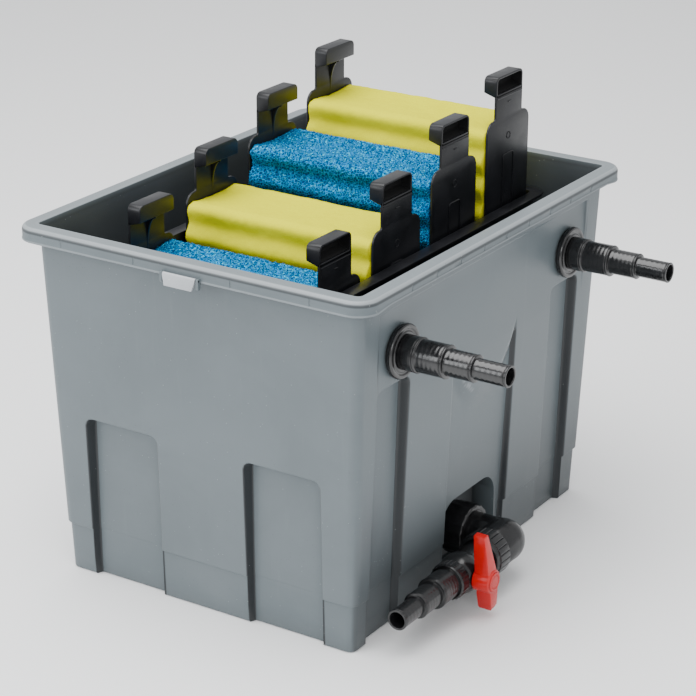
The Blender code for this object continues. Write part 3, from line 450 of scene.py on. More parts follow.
def tub_finish():
    """Grey tub: cloudy moulded grey, painted highlights on the edges, painted shade in the recesses, under the rim,
    inside and low on the X-facing walls, dusty specks, drag marks.
    """
    material, g, shader = new_material("tub_grey_finish", Specular_IOR_Level=0.42)
    parts = grain_node(g, 7.0, 330.0, 1900.0)
    place = g.add("ShaderNodeTexCoord").outputs["Object"]
    base = g.mix(parts.outputs["Cloud"], (0.102, 0.125, 0.136, 1.0), (0.122, 0.146, 0.158, 1.0))
    stretch = g.add("ShaderNodeMapping", {"Vector": place, "Scale": (70.0, 70.0, 5.0)})
    drag = g.add("ShaderNodeTexNoise", {"Vector": stretch.outputs[0], "Scale": 1.0, "Detail": 4.0, "Roughness": 0.7})
    base = g.mix(g.spread(drag.outputs["Fac"], 0.56, 0.8, 0.0, 0.12), base, (0.21, 0.23, 0.24, 1.0))
    # Painted highlight: paler colour on the rounded rim edges and on the recess edges.
    edge = g.add("ShaderNodeAttribute", attribute_name="edge_wear").outputs["Fac"]
    base = g.mix(g.math("MULTIPLY", edge, 0.55), base, (0.38, 0.405, 0.42, 1.0))
    # Painted shade: the X-facing walls darken towards the bottom.
    height = g.add("ShaderNodeSeparateXYZ", {0: place}).outputs[2]
    sideways = g.add("ShaderNodeSeparateXYZ", {0: g.add("ShaderNodeNewGeometry").outputs["Normal"]}).outputs[0]
    low = g.math("MULTIPLY", g.spread(height, 0.0, 0.22, 1.0, 0.0),
                 g.spread(g.math("ABSOLUTE", sideways), 0.5, 0.9, 0.0, 1.0))
    base = g.mix(g.math("MULTIPLY", low, 0.68), base, (0.030, 0.034, 0.036, 1.0))
    # Painted shade: recess side walls, the drain pocket's walls and the band under the rim's ledge go near black.
    recess = g.add("ShaderNodeAttribute", attribute_name="recess").outputs["Fac"]
    base = g.mix(g.math("MULTIPLY", recess, 0.92), base, (0.014, 0.016, 0.018, 1.0))
    # Painted shade on the tub's inside walls and floor.
    inside = g.add("ShaderNodeAttribute", attribute_name="inside").outputs["Fac"]
    base = g.mix(g.math("MULTIPLY", inside, 0.72), base, (0.030, 0.033, 0.035, 1.0))
    base = g.mix(g.math("MULTIPLY", parts.outputs["Light Specks"], 0.6), base, (0.42, 0.44, 0.44, 1.0))
    base = g.mix(g.math("MULTIPLY", parts.outputs["Dark Specks"], 0.6), base, (0.045, 0.05, 0.055, 1.0))
    g.tree.links.new(base, shader.inputs["Base Color"])
    g.tree.links.new(g.spread(parts.outputs["Cloud"], 0.0, 1.0, 0.36, 0.48), shader.inputs["Roughness"])
    sink = g.add("ShaderNodeTexNoise", {"Vector": place, "Scale": 14.0, "Detail": 2.0})
    relief = g.math("ADD", parts.outputs["Grain"], g.math("MULTIPLY", sink.outputs["Fac"], 2.5))
    bumped(g, shader, relief, 0.10, 0.0006)
    return material


def foam_finish(name, deep, body, bright, cells, strut, bump, distance, fleck, cloud, shade_share):
    """Foam: deep cells, body colour on the struts, bright flecks as painted highlights that grow stronger on upward
    faces, and painted shade in the grooves.
    """
    material, g, shader = new_material(name, Roughness=0.9, Specular_IOR_Level=0.10)
    place = g.add("ShaderNodeTexCoord").outputs["Object"]
    parts = g.add("ShaderNodeGroup", {"Place": place, "Cells": cells, "Strut": strut, "Warp": 0.35}, node_tree=CELLS)
    base = g.mix(parts.outputs["Struts"], (*deep, 1.0), (*body, 1.0))
    # Painted highlight: the bright flecks are stronger on upward faces.
    facing = g.add("ShaderNodeSeparateXYZ", {0: g.add("ShaderNodeNewGeometry").outputs["Normal"]}).outputs[2]
    up = g.spread(facing, 0.35, 0.9)
    flecks = g.math("MULTIPLY", parts.outputs["Flecks"], g.math("ADD", g.math("MULTIPLY", up, fleck[1]), fleck[0]))
    base = g.mix(flecks, base, (*bright, 1.0))
    shade = g.spread(parts.outputs["Cloud"], 0.3, 0.7, 0.0, cloud)
    base = g.mix(shade, base, (*deep, 1.0))
    # Painted shade in the grooves between the foam's ridges.
    hollow = g.add("ShaderNodeAttribute", attribute_name="groove").outputs["Fac"]
    base = g.mix(g.math("MULTIPLY", hollow, shade_share), base, (*deep, 1.0))
    g.tree.links.new(base, shader.inputs["Base Color"])
    bumped(g, shader, parts.outputs["Height"], bump, distance)
    return material


TUB_GREY = tub_finish()
CLIP_GREY = moulded("clip_grey_finish", (0.36, 0.38, 0.40), (0.42, 0.44, 0.46), (0.6, 0.62, 0.64), 0.42)
PLATE_BLACK = moulded("plate_black_finish", (0.005, 0.0053, 0.0065), (0.009, 0.0096, 0.012), (0.07, 0.07, 0.08), 0.34,
                      0.10, 0.07, 420.0, 1500.0, 26.0, 1.0, Specular_IOR_Level=0.34)
GLOSS_BLACK = moulded("gloss_black_finish", (0.006, 0.006, 0.0065), (0.011, 0.011, 0.012), (0.07, 0.07, 0.07), 0.2,
                      0.10, 0.05, 500.0, 900.0, 40.0, 1.5, Specular_IOR_Level=0.65)
SATIN_BLACK = moulded("satin_black_finish", (0.006, 0.006, 0.0065), (0.010, 0.010, 0.011), (0.07, 0.07, 0.07), 0.24,
                      0.06, 0.05, 520.0, 1600.0, 30.0, 0.3, Specular_IOR_Level=0.5)
RUBBER = moulded("rubber_finish", (0.010, 0.010, 0.010), (0.018, 0.017, 0.017), (0.05, 0.05, 0.05), 0.72, 0.1, 0.3)
LEVER_RED = moulded("lever_red_finish", (0.46, 0.0008, 0.0004), (0.54, 0.0020, 0.0010), (0.75, 0.12, 0.10), 0.20,
                    0.08, 0.05, 600.0, 1500.0, 30.0, 0.5, Specular_IOR_Level=0.45)
SEAT_WHITE = moulded("seat_white_finish", (0.62, 0.62, 0.59), (0.70, 0.70, 0.67), (0.85, 0.85, 0.85), 0.35)
STEM_GREY = moulded("stem_grey_finish", (0.20, 0.20, 0.21), (0.26, 0.26, 0.27), (0.4, 0.4, 0.4), 0.32)
YELLOW_FOAM = foam_finish("yellow_foam_finish", (0.56, 0.48, 0.0), (0.67, 0.67, 0.0), (0.74, 0.75, 0.0),
                          1700.0, 0.34, 0.20, 0.0005, (0.15, 0.45), 0.08, 0.12)
BLUE_FOAM = foam_finish("blue_foam_finish", (0.0, 0.045, 0.160), (0.0, 0.250, 0.600), (0.04, 0.70, 0.97),
                        270.0, 0.26, 0.9, 0.0020, (0.22, 0.78), 0.22, 0.20)


def piece(name, mesh, material, body, slot, *nodes):
    """A finished piece: rides on its body and stands for its frame nodes; its slot argument is not used."""
    obj = link(name, mesh)
    mesh.materials.clear()
    mesh.materials.append(material)
    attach(obj, body)
    if nodes:
        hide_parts(*nodes)
    return obj


def kept(material, slot, *nodes):
    """Frame nodes that stay as they are with a better finish."""
    for node in nodes:
        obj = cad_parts[node]
        obj.data.materials.clear()
        obj.data.materials.append(material)


# ---- the tub --------------------------------------------------------------------------------
def smooth_step(value):
    t = np.clip(value, 0.0, 1.0)
    return t * t * (3 - 2 * t)


def soft_step(value, ease=0.16):
    """A clamp to 0..1 whose two corners are slightly rounded."""
    return 0.5 * (1 + np.sqrt(value ** 2 + ease ** 2) - np.sqrt((value - 1) ** 2 + ease ** 2))


def arched_inside(u, z, half, top, radius):
    """How far a point is inside an upright panel with rounded top corners."""
    across = half - np.abs(u)
    below = top - z
    corner = radius - np.hypot(np.maximum(radius - across, 0), np.maximum(radius - below, 0))
    return np.where((across < radius) & (below < radius), corner, np.minimum(across, below))


END_PANELS = (-0.110, 0.110)
SIDE_PANELS = (-0.201, 0.189)


def wall_x(z):
    return RIM_X - WALL_IN - DRAFT_X * (1 - z / TUB_H)


def wall_y(z):
    return RIM_Y - WALL_IN - DRAFT_Y * (1 - z / TUB_H)


def band_depth(z):
    return BAND_IN * (1 - smooth_step((z - BAND_H + 0.0012) / 0.0024))


def end_depth(u, z, grow):
    """Inward depth of an end wall at u across and height z."""
    depth = np.zeros_like(u)
    floor = wall_y(z) - (0.2534 + 0.010 * z)
    for centre in END_PANELS:
        inside = arched_inside(u - centre, z, 0.0505 + grow, 0.203 + grow, 0.010 + grow)
        share = soft_step(inside / 0.0034)
        depth = np.maximum(depth, floor * share)
    return depth


def side_depth(u, z, grow):
    """Inward depth of the fittings side: land, two panels and the shallow channel."""
    land = np.maximum(wall_x(z) - LAND_X, 0)
    mask = soft_step((LAND_Y + grow - np.abs(u)) / 0.0030) * soft_step((LAND_TOP + grow - z) / 0.0022)
    depth = land * mask
    for centre in SIDE_PANELS:
        inside = arched_inside(u - centre, z, 0.033 + grow, 0.306 + grow, 0.010 + grow)
        floor = wall_x(z) - (0.1916 + 0.026 * z)
        depth = np.maximum(depth, depth + (floor - depth) * soft_step(inside / 0.0036))
    s = np.clip(u / 0.0725, -1, 1)
    rise = np.where(s < 0, 0.080, 0.066)
    head = 0.236 + rise * (1 - np.sqrt(np.maximum(1 - (0.92 * s) ** 2, 0))) / 0.608
    floor = np.maximum(wall_x(z) - (0.1923 + 0.048 * z), 0)
    share = soft_step((0.0725 + grow - np.abs(u)) / 0.0030) * smooth_step((head + grow - z) / 0.034 + 0.12)
    return depth + np.maximum(floor - depth, 0) * share


def stations(limit, dense, ticks):
    """Places along a straight side: even steps, with close steps near edges and ticks."""
    marks = set(np.round(np.linspace(-limit, limit, 25), 5))
    for centre, reach, step in dense:
        marks |= set(np.round(np.arange(centre - reach, centre + reach + 1e-9, step), 5))
    for tick in ticks:
        marks |= {round(tick + k * 0.0005, 5) for k in range(-2, 3)}
    kept_marks = []
    for mark in sorted(m for m in marks if abs(m) <= limit + 1e-9):
        if not kept_marks or mark - kept_marks[-1] > 0.00025:
            kept_marks.append(mark)
    return np.array(kept_marks)


SIDE_TICKS = tuple(-0.2025 + 0.0509 * i for i in range(9))
END_TICKS = (-0.1647, -0.0644, 0.0644, 0.1647)
SIDE_LINE = stations(0.2445, [(c + s * 0.033, 0.0062, 0.0008) for c in SIDE_PANELS for s in (-1, 1)]
                     + [(0.0, 0.068, 0.004)] + [(s * 0.0725, 0.005, 0.0008) for s in (-1, 1)] + [(s * 0.237, 0.004, 0.0008) for s in (-1, 1)]
                     + [(c + s * 0.027, 0.006, 0.0012) for c in SIDE_PANELS for s in (-1, 1)], SIDE_TICKS)
END_LINE = stations(0.1835, [(c + s * 0.0505, 0.0062, 0.0008) for c in END_PANELS for s in (-1, 1)]
                    + [(c + s * 0.044, 0.006, 0.0012) for c in END_PANELS for s in (-1, 1)], END_TICKS)
PLAIN_LINE = stations(0.2445, [], SIDE_TICKS)
CORNER_STEPS = 10


def perimeter(half_x, half_y, radius):
    """Points round a rounded rectangle with fixed stations, with their side, station and way in."""
    spots = []
    arc = [math.pi / 2 * i / CORNER_STEPS for i in range(CORNER_STEPS + 1)]
    radius = max(radius, 0.0004)
    sides = ((1, SIDE_LINE, 0), (2, END_LINE, 90), (3, PLAIN_LINE, 180), (0, END_LINE, 270))
    for side, line, start in sides:
        if side == 1:
            spots += [(half_x, u, side, u, -1, 0) for u in line]
            centre = (half_x - radius, half_y - radius)
        elif side == 2:
            spots += [(u, half_y, side, u, 0, -1) for u in line[::-1]]
            centre = (-half_x + radius, half_y - radius)
        elif side == 3:
            spots += [(-half_x, u, side, u, 1, 0) for u in line[::-1]]
            centre = (-half_x + radius, -half_y + radius)
        else:
            spots += [(u, -half_y, side, u, 0, 1) for u in line]
            centre = (half_x - radius, -half_y + radius)
        for turn in arc:
            t = math.radians(start) + turn
            spots.append((centre[0] + radius * math.cos(t), centre[1] + radius * math.sin(t), 4, 9.0,
                          -math.cos(t), -math.sin(t)))
    return np.array(spots)


def rim_rows():
    """Rim rows from under the ledge, round the skirt and over the top to the inner edge."""
    rows = [(0.0172, TUB_H - 0.0040, 0), (0.0050, TUB_H - 0.0040, 0), (0.0038, TUB_H - 0.0052, 0),
            (0.0036, TUB_H - RIM_DROP + 0.0006, 2), (0.0030, TUB_H - RIM_DROP, 2), (0.0006, TUB_H - RIM_DROP, 2),
            (-0.0002, TUB_H - RIM_DROP + 0.0007, 2), (0.0, TUB_H - RIM_DROP + 0.0022, 2),
            (0.0003, TUB_H - RIM_DROP + 0.0028, 1), (0.0003, TUB_H - 0.0100, 1), (0.0002, TUB_H - 0.0072, 1)]
    for i in range(9):
        turn = math.pi / 2 * i / 8
        rows.append((0.0062 - 0.0060 * math.cos(turn), TUB_H - 0.0060 + 0.0060 * math.sin(turn), 0))
    rows += [(0.0100, TUB_H - 0.0001, 0), (0.0150, TUB_H - 0.0001, 0), (0.0183, TUB_H, 0)]
    for i in range(1, 5):
        turn = math.pi / 2 * i / 4
        rows.append((0.0183 + 0.0016 * math.sin(turn), TUB_H - 0.0016 + 0.0016 * math.cos(turn), 0))
    rows.append((0.0212, TUB_H - 0.0060, 0))
    return rows


def wall_heights(low, high):
    marks = set(np.round(np.linspace(low, high, 20), 5))
    for centre, reach, step in ((BAND_H, 0.0024, 0.0006), (0.203, 0.0048, 0.0008), (0.196, 0.006, 0.0020),
                                (0.306, 0.0048, 0.0008), (0.299, 0.006, 0.0020), (LAND_TOP, 0.0032, 0.0008),
                                (0.27, 0.042, 0.003)):
        marks |= {m for m in np.round(np.arange(centre - reach, centre + reach + 1e-9, step), 5) if low < m < high}
    out = []
    for mark in sorted(marks):
        if not out or mark - out[-1] > 0.0004:
            out.append(mark)
    return out


def inner_heights():
    """The few heights that the inner wall needs: even ones, and both sides of each panel's top."""
    marks = list(np.linspace(WALL_T, TUB_H - 0.012, 18))
    for top in (0.203, 0.306, LAND_TOP):
        marks += [top - 0.0065, top + 0.0006, top + WALL_T + 0.0005]
    return sorted(marks)


def wall_row(z, extra, radius, grow, band=True):
    """One row of the outer or inner wall, drawn in to its panels."""
    spots = perimeter(wall_x(z) - extra, wall_y(z) - extra, radius)
    u = spots[:, 3]
    height = np.full(len(u), z)
    side = spots[:, 2]
    depth = np.where((side == 0) | (side == 2), end_depth(u, height, grow), 0.0)
    depth = np.where(side == 1, side_depth(u, height, grow), depth)
    if band:
        depth = np.where(depth < 0.001, np.maximum(depth, band_depth(z)), depth + band_depth(z) * 0.12)
    x = spots[:, 0] + spots[:, 4] * depth
    y = spots[:, 1] + spots[:, 5] * depth
    return np.stack([x, y, height], -1), depth


def beside_edge(z):
    """1 at the stations of a wall row that lie on a recess's side wall."""
    spots = perimeter(wall_x(z), wall_y(z), 0.013)
    u, side = spots[:, 3], spots[:, 2]
    near = np.zeros(len(u), bool)
    for centre in SIDE_PANELS:
        near |= (side == 1) & (np.abs(np.abs(u - centre) - 0.033) < 0.0052)
    near |= (side == 1) & (np.abs(u - 0.0725) < 0.0046)
    for centre in END_PANELS:
        near |= ((side == 0) | (side == 2)) & (np.abs(np.abs(u - centre) - 0.0505) < 0.0052)
    return near.astype(float)


def rim_row(inset, z, kind):
    spots = perimeter(RIM_X - inset, RIM_Y - inset, 0.026 - inset)
    u, side = spots[:, 3], spots[:, 2]
    push = np.zeros(len(u))
    if kind == 1:
        for ticks, which in ((SIDE_TICKS, (1, 3)), (END_TICKS, (0, 2))):
            for tick in ticks:
                near = np.isin(side, which) & (np.abs(u - tick) < 0.0007)
                push = np.where(near, 0.0007, push)
    height = np.full(len(u), z)
    if kind == 2:
        height = height + np.where(np.isin(side, (1, 3)), 0.0030, 0.0)
    x = spots[:, 0] + spots[:, 4] * push
    y = spots[:, 1] + spots[:, 5] * push
    return np.stack([x, y, height], -1)


def tub_mesh():
    """The whole tub as one closed skin: outer wall, rim, inner wall and floor."""
    rows, glint_rows, inside, recess = [], [], [], []

    def put(points, painted_glint, inner, shaded=0.0):
        rows.append(points)
        glint_rows.append(np.broadcast_to(painted_glint, len(points)))
        inside.append(np.full(len(points), inner))
        recess.append(np.broadcast_to(shaded, len(points)))

    for z in wall_heights(0.0, TUB_H - 0.0045):
        lift = 0.0016 if z == 0.0 else 0.0
        points, depth = wall_row(z, lift, 0.013 - lift, 0.0)
        if z == 0.0:
            put(points, 0.0, 0.0)
            points, depth = wall_row(0.0015, 0.0, 0.013, 0.0)
        # Painted highlight (0.7) on the edges of recess slopes; painted shade (flank) on the recess side walls.
        slope = np.abs(np.gradient(depth)) > 0.0004
        flank = np.clip(np.abs(np.gradient(depth)) / 0.0005, 0, 1) * np.clip((depth - 0.0004) / 0.001, 0, 1)
        flank = np.maximum(flank, np.maximum(np.roll(flank, 1), np.roll(flank, -1))) * beside_edge(z)
        put(points, np.where(slope & (depth < 0.0012), 0.7, 0.0), 0.0, flank)
    for inset, z, kind in rim_rows():
        # Painted highlight on the rim's rounded edges and along its top.
        painted_glint = 0.5 if 0.0180 < inset < 0.0195 or kind == 2 and inset < 0.001 else 0.0
        if kind == 0 and 0.0006 < inset < 0.0040 and z > TUB_H - 0.004:
            painted_glint = 0.9
        if kind == 0 and 0.0040 <= inset < 0.0180 and z > TUB_H - 0.001:
            painted_glint = 0.35
        # Rows under the rim's ledge get painted shade through the recess value; inner rim rows get painted shade
        # through the inside value.
        put(rim_row(inset, z, kind), painted_glint, 0.0 if inset < 0.0195 else 0.7, 0.75 if z < TUB_H - 0.0035 and not kind else 0.0)
    # The inner wall rows get full painted shade through the inside value.
    for z in inner_heights()[::-1]:
        points, depth = wall_row(z, WALL_T + 0.0001, 0.010, WALL_T, False)
        put(points, 0.0, 1.0)
    columns = len(rows[0])
    points = np.concatenate(rows)
    faces = tube_quads(len(rows), columns, False)
    faces.append(tuple(range(columns)))
    faces.append(tuple(range(len(points) - columns, len(points))))
    mesh = outward(grid_mesh("tub_skin", points, faces))
    for label, values in (("edge_wear", glint_rows), ("inside", inside), ("recess", recess)):
        layer = mesh.attributes.new(label, "FLOAT", "POINT")
        layer.data.foreach_set("value", np.concatenate(values).astype(np.float32))
    return mesh


def round_bar(radius, start, end, y, z, steps=64):
    rings = [[(x, y + radius * math.cos(2 * math.pi * i / steps), z + radius * math.sin(2 * math.pi * i / steps))
              for i in range(steps)] for x in (start, end)]
    return skinned("bar", rings)


def pocket_mesh(grow, back):
    """The drain pocket as a solid: rounded top, open through the wall."""
    low = POCKET_LOW - grow
    outline = arched(POCKET_HALF + grow, low, POCKET_TOP + grow, POCKET_R + grow, 16)
    rings = []
    for x, shrink in ((0.215 if not grow else 0.196, 0.0), (back + 0.0015, 0.0), (back, 0.0015)):
        ring = []
        for u, z in outline:
            middle = (low + POCKET_TOP) / 2
            ring.append((x, POCKET_Y + u - math.copysign(shrink, u), z - math.copysign(shrink, z - middle)))
        rings.append(ring)
    return skinned("pocket", rings)


def clip_ear(side, hand):
    """One hinge ear that hangs from the rim beside the clip."""
    outline = [(0.0, 0.0), (0.0048, 0.0), (0.0048, -0.0045)]
    for i in range(9):
        turn = math.radians(-10 - 160 * i / 8)
        outline.append((0.0024 + 0.0026 * math.cos(turn), -0.0058 + 0.0034 * math.sin(turn) - 0.0010))
    outline.append((0.0, -0.0045))
    start = hand * 0.0221
    ends = (start, start + hand * 0.0035)
    points = [(side * (RIM_Y - 0.0006 + u * 1.05), TUB_H - 0.0125 + v * 1.25) for u, v in outline]
    return bevelled(prism("ear", points, "x", min(ends), max(ends)), 0.0005, 2)


def shade_pocket(mesh):
    """Paints shade on the drain pocket's walls away from its mouth."""
    count = len(mesh.vertices)
    places = np.empty(count * 3, np.float32)
    mesh.vertices.foreach_get("co", places)
    x, y, z = places.reshape(-1, 3).T
    near = (np.abs(y - POCKET_Y) < POCKET_HALF + 0.001) & (z < POCKET_TOP + 0.001) & (z > POCKET_LOW - 0.001)
    deep = near & (x > POCKET_BACK - 0.001) & (x < 0.1885)
    values = np.empty(count, np.float32)
    layer = mesh.attributes["recess"].data
    layer.foreach_get("value", values)
    far = np.where(y > POCKET_Y + 0.03, 1.0, 0.45)
    layer.foreach_set("value", np.where(deep, far, values).astype(np.float32))


def build_tub():
    mesh = tub_mesh()
    mesh = boolean(mesh, pocket_mesh(WALL_T, POCKET_BACK - WALL_T), "UNION")
    mesh = boolean(mesh, pocket_mesh(0.0, POCKET_BACK), "DIFFERENCE")
    holes = joined("holes", [round_bar(THREAD_R + 0.0004, 0.190, 0.22, FITTING_Y, FITTING_Z),
                             round_bar(THREAD_R + 0.0004, 0.190, 0.22, -FITTING_Y, FITTING_Z),
                             round_bar(THREAD_R + 0.0004, 0.150, 0.18, DRAIN_Y, DRAIN.z)])
    mesh = boolean(mesh, holes, "DIFFERENCE")
    mesh.shade_smooth()
    mesh.set_sharp_from_angle(angle=math.radians(50))
    shade_pocket(mesh)
    parts = [mesh] + [clip_ear(side, hand) for side in (-1, 1) for hand in (-1, 1)]
    piece("tub_shell", joined("tub_shell", parts), TUB_GREY, "tub_body", "tub_grey", "tub")


# ---- foam blocks ----------------------------------------------------------------------------
def foam_half(depth_down, crest, groove, top_half):
    """Half thickness of a foam block at a depth below its top: rounded top, then soft grooves."""
    pitch = 0.032
    turn = (depth_down - 0.023) / pitch * 2 * np.pi
    vee = groove + (crest - groove) * (0.5 - 0.5 * np.cos(turn)) ** 0.85
    round_over = np.sqrt(np.clip(1 - (1 - np.clip(depth_down / 0.009, 0, 1)) ** 2, 0, 1))
    shoulder = top_half + (crest - 0.004 - top_half) * round_over
    ease = 0.5 - 0.5 * np.cos(np.pi * np.clip((depth_down - 0.009) / 0.014, 0, 1))
    start = crest - 0.004 + (groove - crest + 0.004) * ease
    return np.where(depth_down < 0.009, shoulder, np.where(depth_down < 0.023, start, vee))


def foam_block(node, step, rough, cell, seed, blue):
    """One foam block: grooved sides, dished top, rough cut ends and an open-cell surface."""
    low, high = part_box(node)
    y = (low.y + high.y) / 2
    reach = high.x - 0.0006
    height = high.z - low.z
    crest = (high.y - low.y) / 2 - rough * 0.5
    downs = np.arange(0.0, height - 0.0005, step)
    fall = 0.0095 if blue else 0.0070
    halves = foam_half(downs, crest, crest - fall, crest - 0.0155)
    if blue:
        halves = np.convolve(np.pad(halves, 2, "edge"), np.ones(5) / 5, "valid")
    side = np.stack([halves, high.z - 0.0006 - downs], -1)
    across = np.arange(-halves[0] + step, halves[0] - step / 2, step)
    dish = high.z - 0.0006 - 0.0026 * (1 - (across / halves[0]) ** 2)
    bottom = np.arange(halves[-1] - step * 2, -halves[-1] + step, -step * 2)
    left = side[::-1] * (-1, 1)
    top = np.stack([across, dish], -1)
    base = np.stack([bottom, np.full(len(bottom), side[-1, 1])], -1)
    loop = np.concatenate([left, top, side, base])
    count = len(loop)
    ahead = np.roll(loop, -1, 0) - np.roll(loop, 1, 0)
    normal = np.stack([-ahead[:, 1], ahead[:, 0]], -1)
    normal /= np.maximum(np.linalg.norm(normal, axis=1, keepdims=True), 1e-9)
    rows = max(int(2 * reach / step), 2)
    xs = np.linspace(-reach, reach, rows + 1)
    points = np.zeros((rows + 1, count, 3))
    points[..., 0] = xs[:, None]
    points[..., 1] = y + loop[None, :, 0]
    points[..., 2] = loop[None, :, 1]
    flat = points.reshape(-1, 3)
    out = np.zeros((rows + 1, count, 3))
    out[..., 1], out[..., 2] = normal[None, :, 0], normal[None, :, 1]
    flat_out = out.reshape(-1, 3)
    broad = value_noise(flat, 0.018, seed) * 0.0007 + value_noise(flat, 0.006, seed + 3) * 0.0003
    if blue:
        near, second = cell_gaps(flat, cell, seed)
        strut = np.clip(1 - (second - near) / 0.35, 0, 1)
        relief = (strut - 0.55) * rough + value_noise(flat, cell * 0.5, seed + 9) * rough * 0.45
    else:
        relief = value_noise(flat, cell, seed + 5) * rough
    flat = flat + flat_out * (relief + broad)[:, None]
    jog = value_noise(flat, 0.004, seed + 11) * 0.0008 + value_noise(flat, 0.0015, seed + 12) * 0.0004
    ends = (np.abs(points.reshape(-1, 3)[:, 0]) > reach - 1e-6)
    flat[:, 0] += np.where(ends, -np.sign(flat[:, 0]) * np.abs(jog), 0)
    flat[:, 1] = np.clip(flat[:, 1], low.y - 0.0002, high.y + 0.0002)
    flat[:, 2] = np.clip(flat[:, 2], low.z, high.z)
    faces = tube_quads(rows + 1, count, False)
    faces.append(tuple(range(count)))
    faces.append(tuple(range(count * rows, count * (rows + 1))))
    mesh = outward(grid_mesh(node + "_mesh", flat, faces))
    down = high.z - flat[:, 2]
    half = np.abs(flat[:, 1] - y)
    # groove marks where painted shade darkens the foam.
    groove = np.clip((crest - half) / fall, 0, 1) * np.clip((down - 0.010) / 0.008, 0, 1)
    layer = mesh.attributes.new("groove", "FLOAT", "POINT")
    layer.data.foreach_set("value", (groove ** 1.5).astype(np.float32))
    return mesh


def strut_tree():
    """Torn fibre ends scattered over a foam block, with its sizes as inputs."""
    tree = bpy.data.node_groups.new("foam_fibres", "GeometryNodeTree")
    tree.interface.new_socket("Foam", in_out="INPUT", socket_type="NodeSocketGeometry")
    for label, kind in (("Density", "Float"), ("Length", "Float"), ("Width", "Float"), ("Lowest", "Float"),
                        ("Seed", "Int"), ("Finish", "Material")):
        tree.interface.new_socket(label, in_out="INPUT", socket_type="NodeSocket" + kind)
    tree.interface.new_socket("Foam", in_out="OUTPUT", socket_type="NodeSocketGeometry")
    g = Graph(tree)
    given, made = g.add("NodeGroupInput"), g.add("NodeGroupOutput")
    height = g.add("ShaderNodeSeparateXYZ", {0: g.add("GeometryNodeInputPosition").outputs[0]}).outputs[2]
    high = g.add("FunctionNodeCompare", {0: height, 1: given.outputs["Lowest"]}, operation="GREATER_THAN")
    scatter = g.add("GeometryNodeDistributePointsOnFaces",
                    {"Mesh": given.outputs["Foam"], "Selection": high.outputs[0], "Density": given.outputs["Density"],
                     "Seed": given.outputs["Seed"]})
    fibre = g.add("GeometryNodeMeshCone", {"Vertices": 4, "Radius Top": 0.0, "Radius Bottom": given.outputs["Width"],
                                           "Depth": given.outputs["Length"]}, fill_type="NGON")
    twist = g.add("FunctionNodeRandomValue", {"Min": (-1.1, -1.1, 0.0), "Max": (1.1, 1.1, 6.2),
                                              "Seed": given.outputs["Seed"]}, data_type="FLOAT_VECTOR")
    turn = g.add("FunctionNodeRotateRotation", {0: scatter.outputs["Rotation"], 1: twist.outputs[0]},
                 rotation_space="LOCAL")
    size = g.add("FunctionNodeRandomValue", {2: 0.45, 3: 1.25, "Seed": given.outputs["Seed"]}, data_type="FLOAT")
    spread = g.add("GeometryNodeInstanceOnPoints", {"Points": scatter.outputs["Points"],
                                                    "Instance": fibre.outputs["Mesh"], "Rotation": turn.outputs[0],
                                                    "Scale": size.outputs[1]})
    solid = g.add("GeometryNodeRealizeInstances", {0: spread.outputs[0]})
    both = g.add("GeometryNodeJoinGeometry")
    tree.links.new(solid.outputs[0], both.inputs[0])
    tree.links.new(given.outputs["Foam"], both.inputs[0])
    coat = g.add("GeometryNodeSetMaterial", {"Geometry": both.outputs[0], "Material": given.outputs["Finish"]})
    tree.links.new(coat.outputs[0], made.inputs[0])
    return tree


def grown(mesh, tree, **values):
    """The mesh after a Geometry Nodes tree with its inputs set by their identifiers."""
    obj = bpy.data.objects.new("grown", mesh)
    bpy.context.scene.collection.objects.link(obj)
    modifier = obj.modifiers.new("grown", "NODES")
    modifier.node_group = tree
    for item in tree.interface.items_tree:
        label = item.name.replace(" ", "_")
        if item.item_type == "SOCKET" and item.in_out == "INPUT" and label in values:
            modifier[item.identifier] = values[label]
    graph = bpy.context.evaluated_depsgraph_get()
    out = bpy.data.meshes.new_from_object(obj.evaluated_get(graph), depsgraph=graph)
    obj.modifiers.remove(modifier)
    bpy.data.objects.remove(obj)
    return out


def build_foams():
    fibres = strut_tree()
    for number in (1, 3):
        node = f"blue_foam_{number}"
        mesh = foam_block(node, 0.00155, 0.0014, 0.0034, 40 + number, True)
        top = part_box(node)[1].z
        mesh = grown(mesh, fibres, Density=150000.0, Length=0.0021, Width=0.00032, Lowest=top - 0.085, Seed=number,
                     Finish=BLUE_FOAM)
        foam = piece(f"coarse_foam_{number}", mesh, BLUE_FOAM, f"cartridge_{number}", "blue_foam", node)
    for number in (2, 4):
        node = f"yellow_foam_{number}"
        mesh = foam_block(node, 0.0022, 0.00022, 0.0011, 70 + number, False)
        foam = piece(f"fine_foam_{number}", mesh, YELLOW_FOAM, f"cartridge_{number}", "yellow_foam", node)


# ---- end plates -----------------------------------------------------------------------------
PLATE_OUT = 0.1285
PLATE_T = 0.003
BLOCK_IN = 0.111
BLOCK_H = 0.025
BLOCK_RISE = 0.0055
BODY_HALF = 0.050
NECK_HALF = 0.0315
NECK_LOW = 0.050


def plate_half():
    """Half the plate's outline from its foot up to the block, measured down from the handle's top."""
    half = [(BODY_HALF, -0.325)]
    for i in range(11):
        turn = math.pi / 2 * i / 10
        half.append((BODY_HALF - 0.014 + 0.014 * math.cos(turn), -NECK_LOW - 0.016 + 0.014 * math.sin(turn)))
    for i in range(6):
        turn = math.pi / 2 * i / 5
        half.append((NECK_HALF + 0.003 - 0.003 * math.sin(turn), -NECK_LOW + 0.001 - 0.003 + 0.003 * (1 - math.cos(turn))))
    half.append((NECK_HALF, -BLOCK_H + 0.004))
    return half


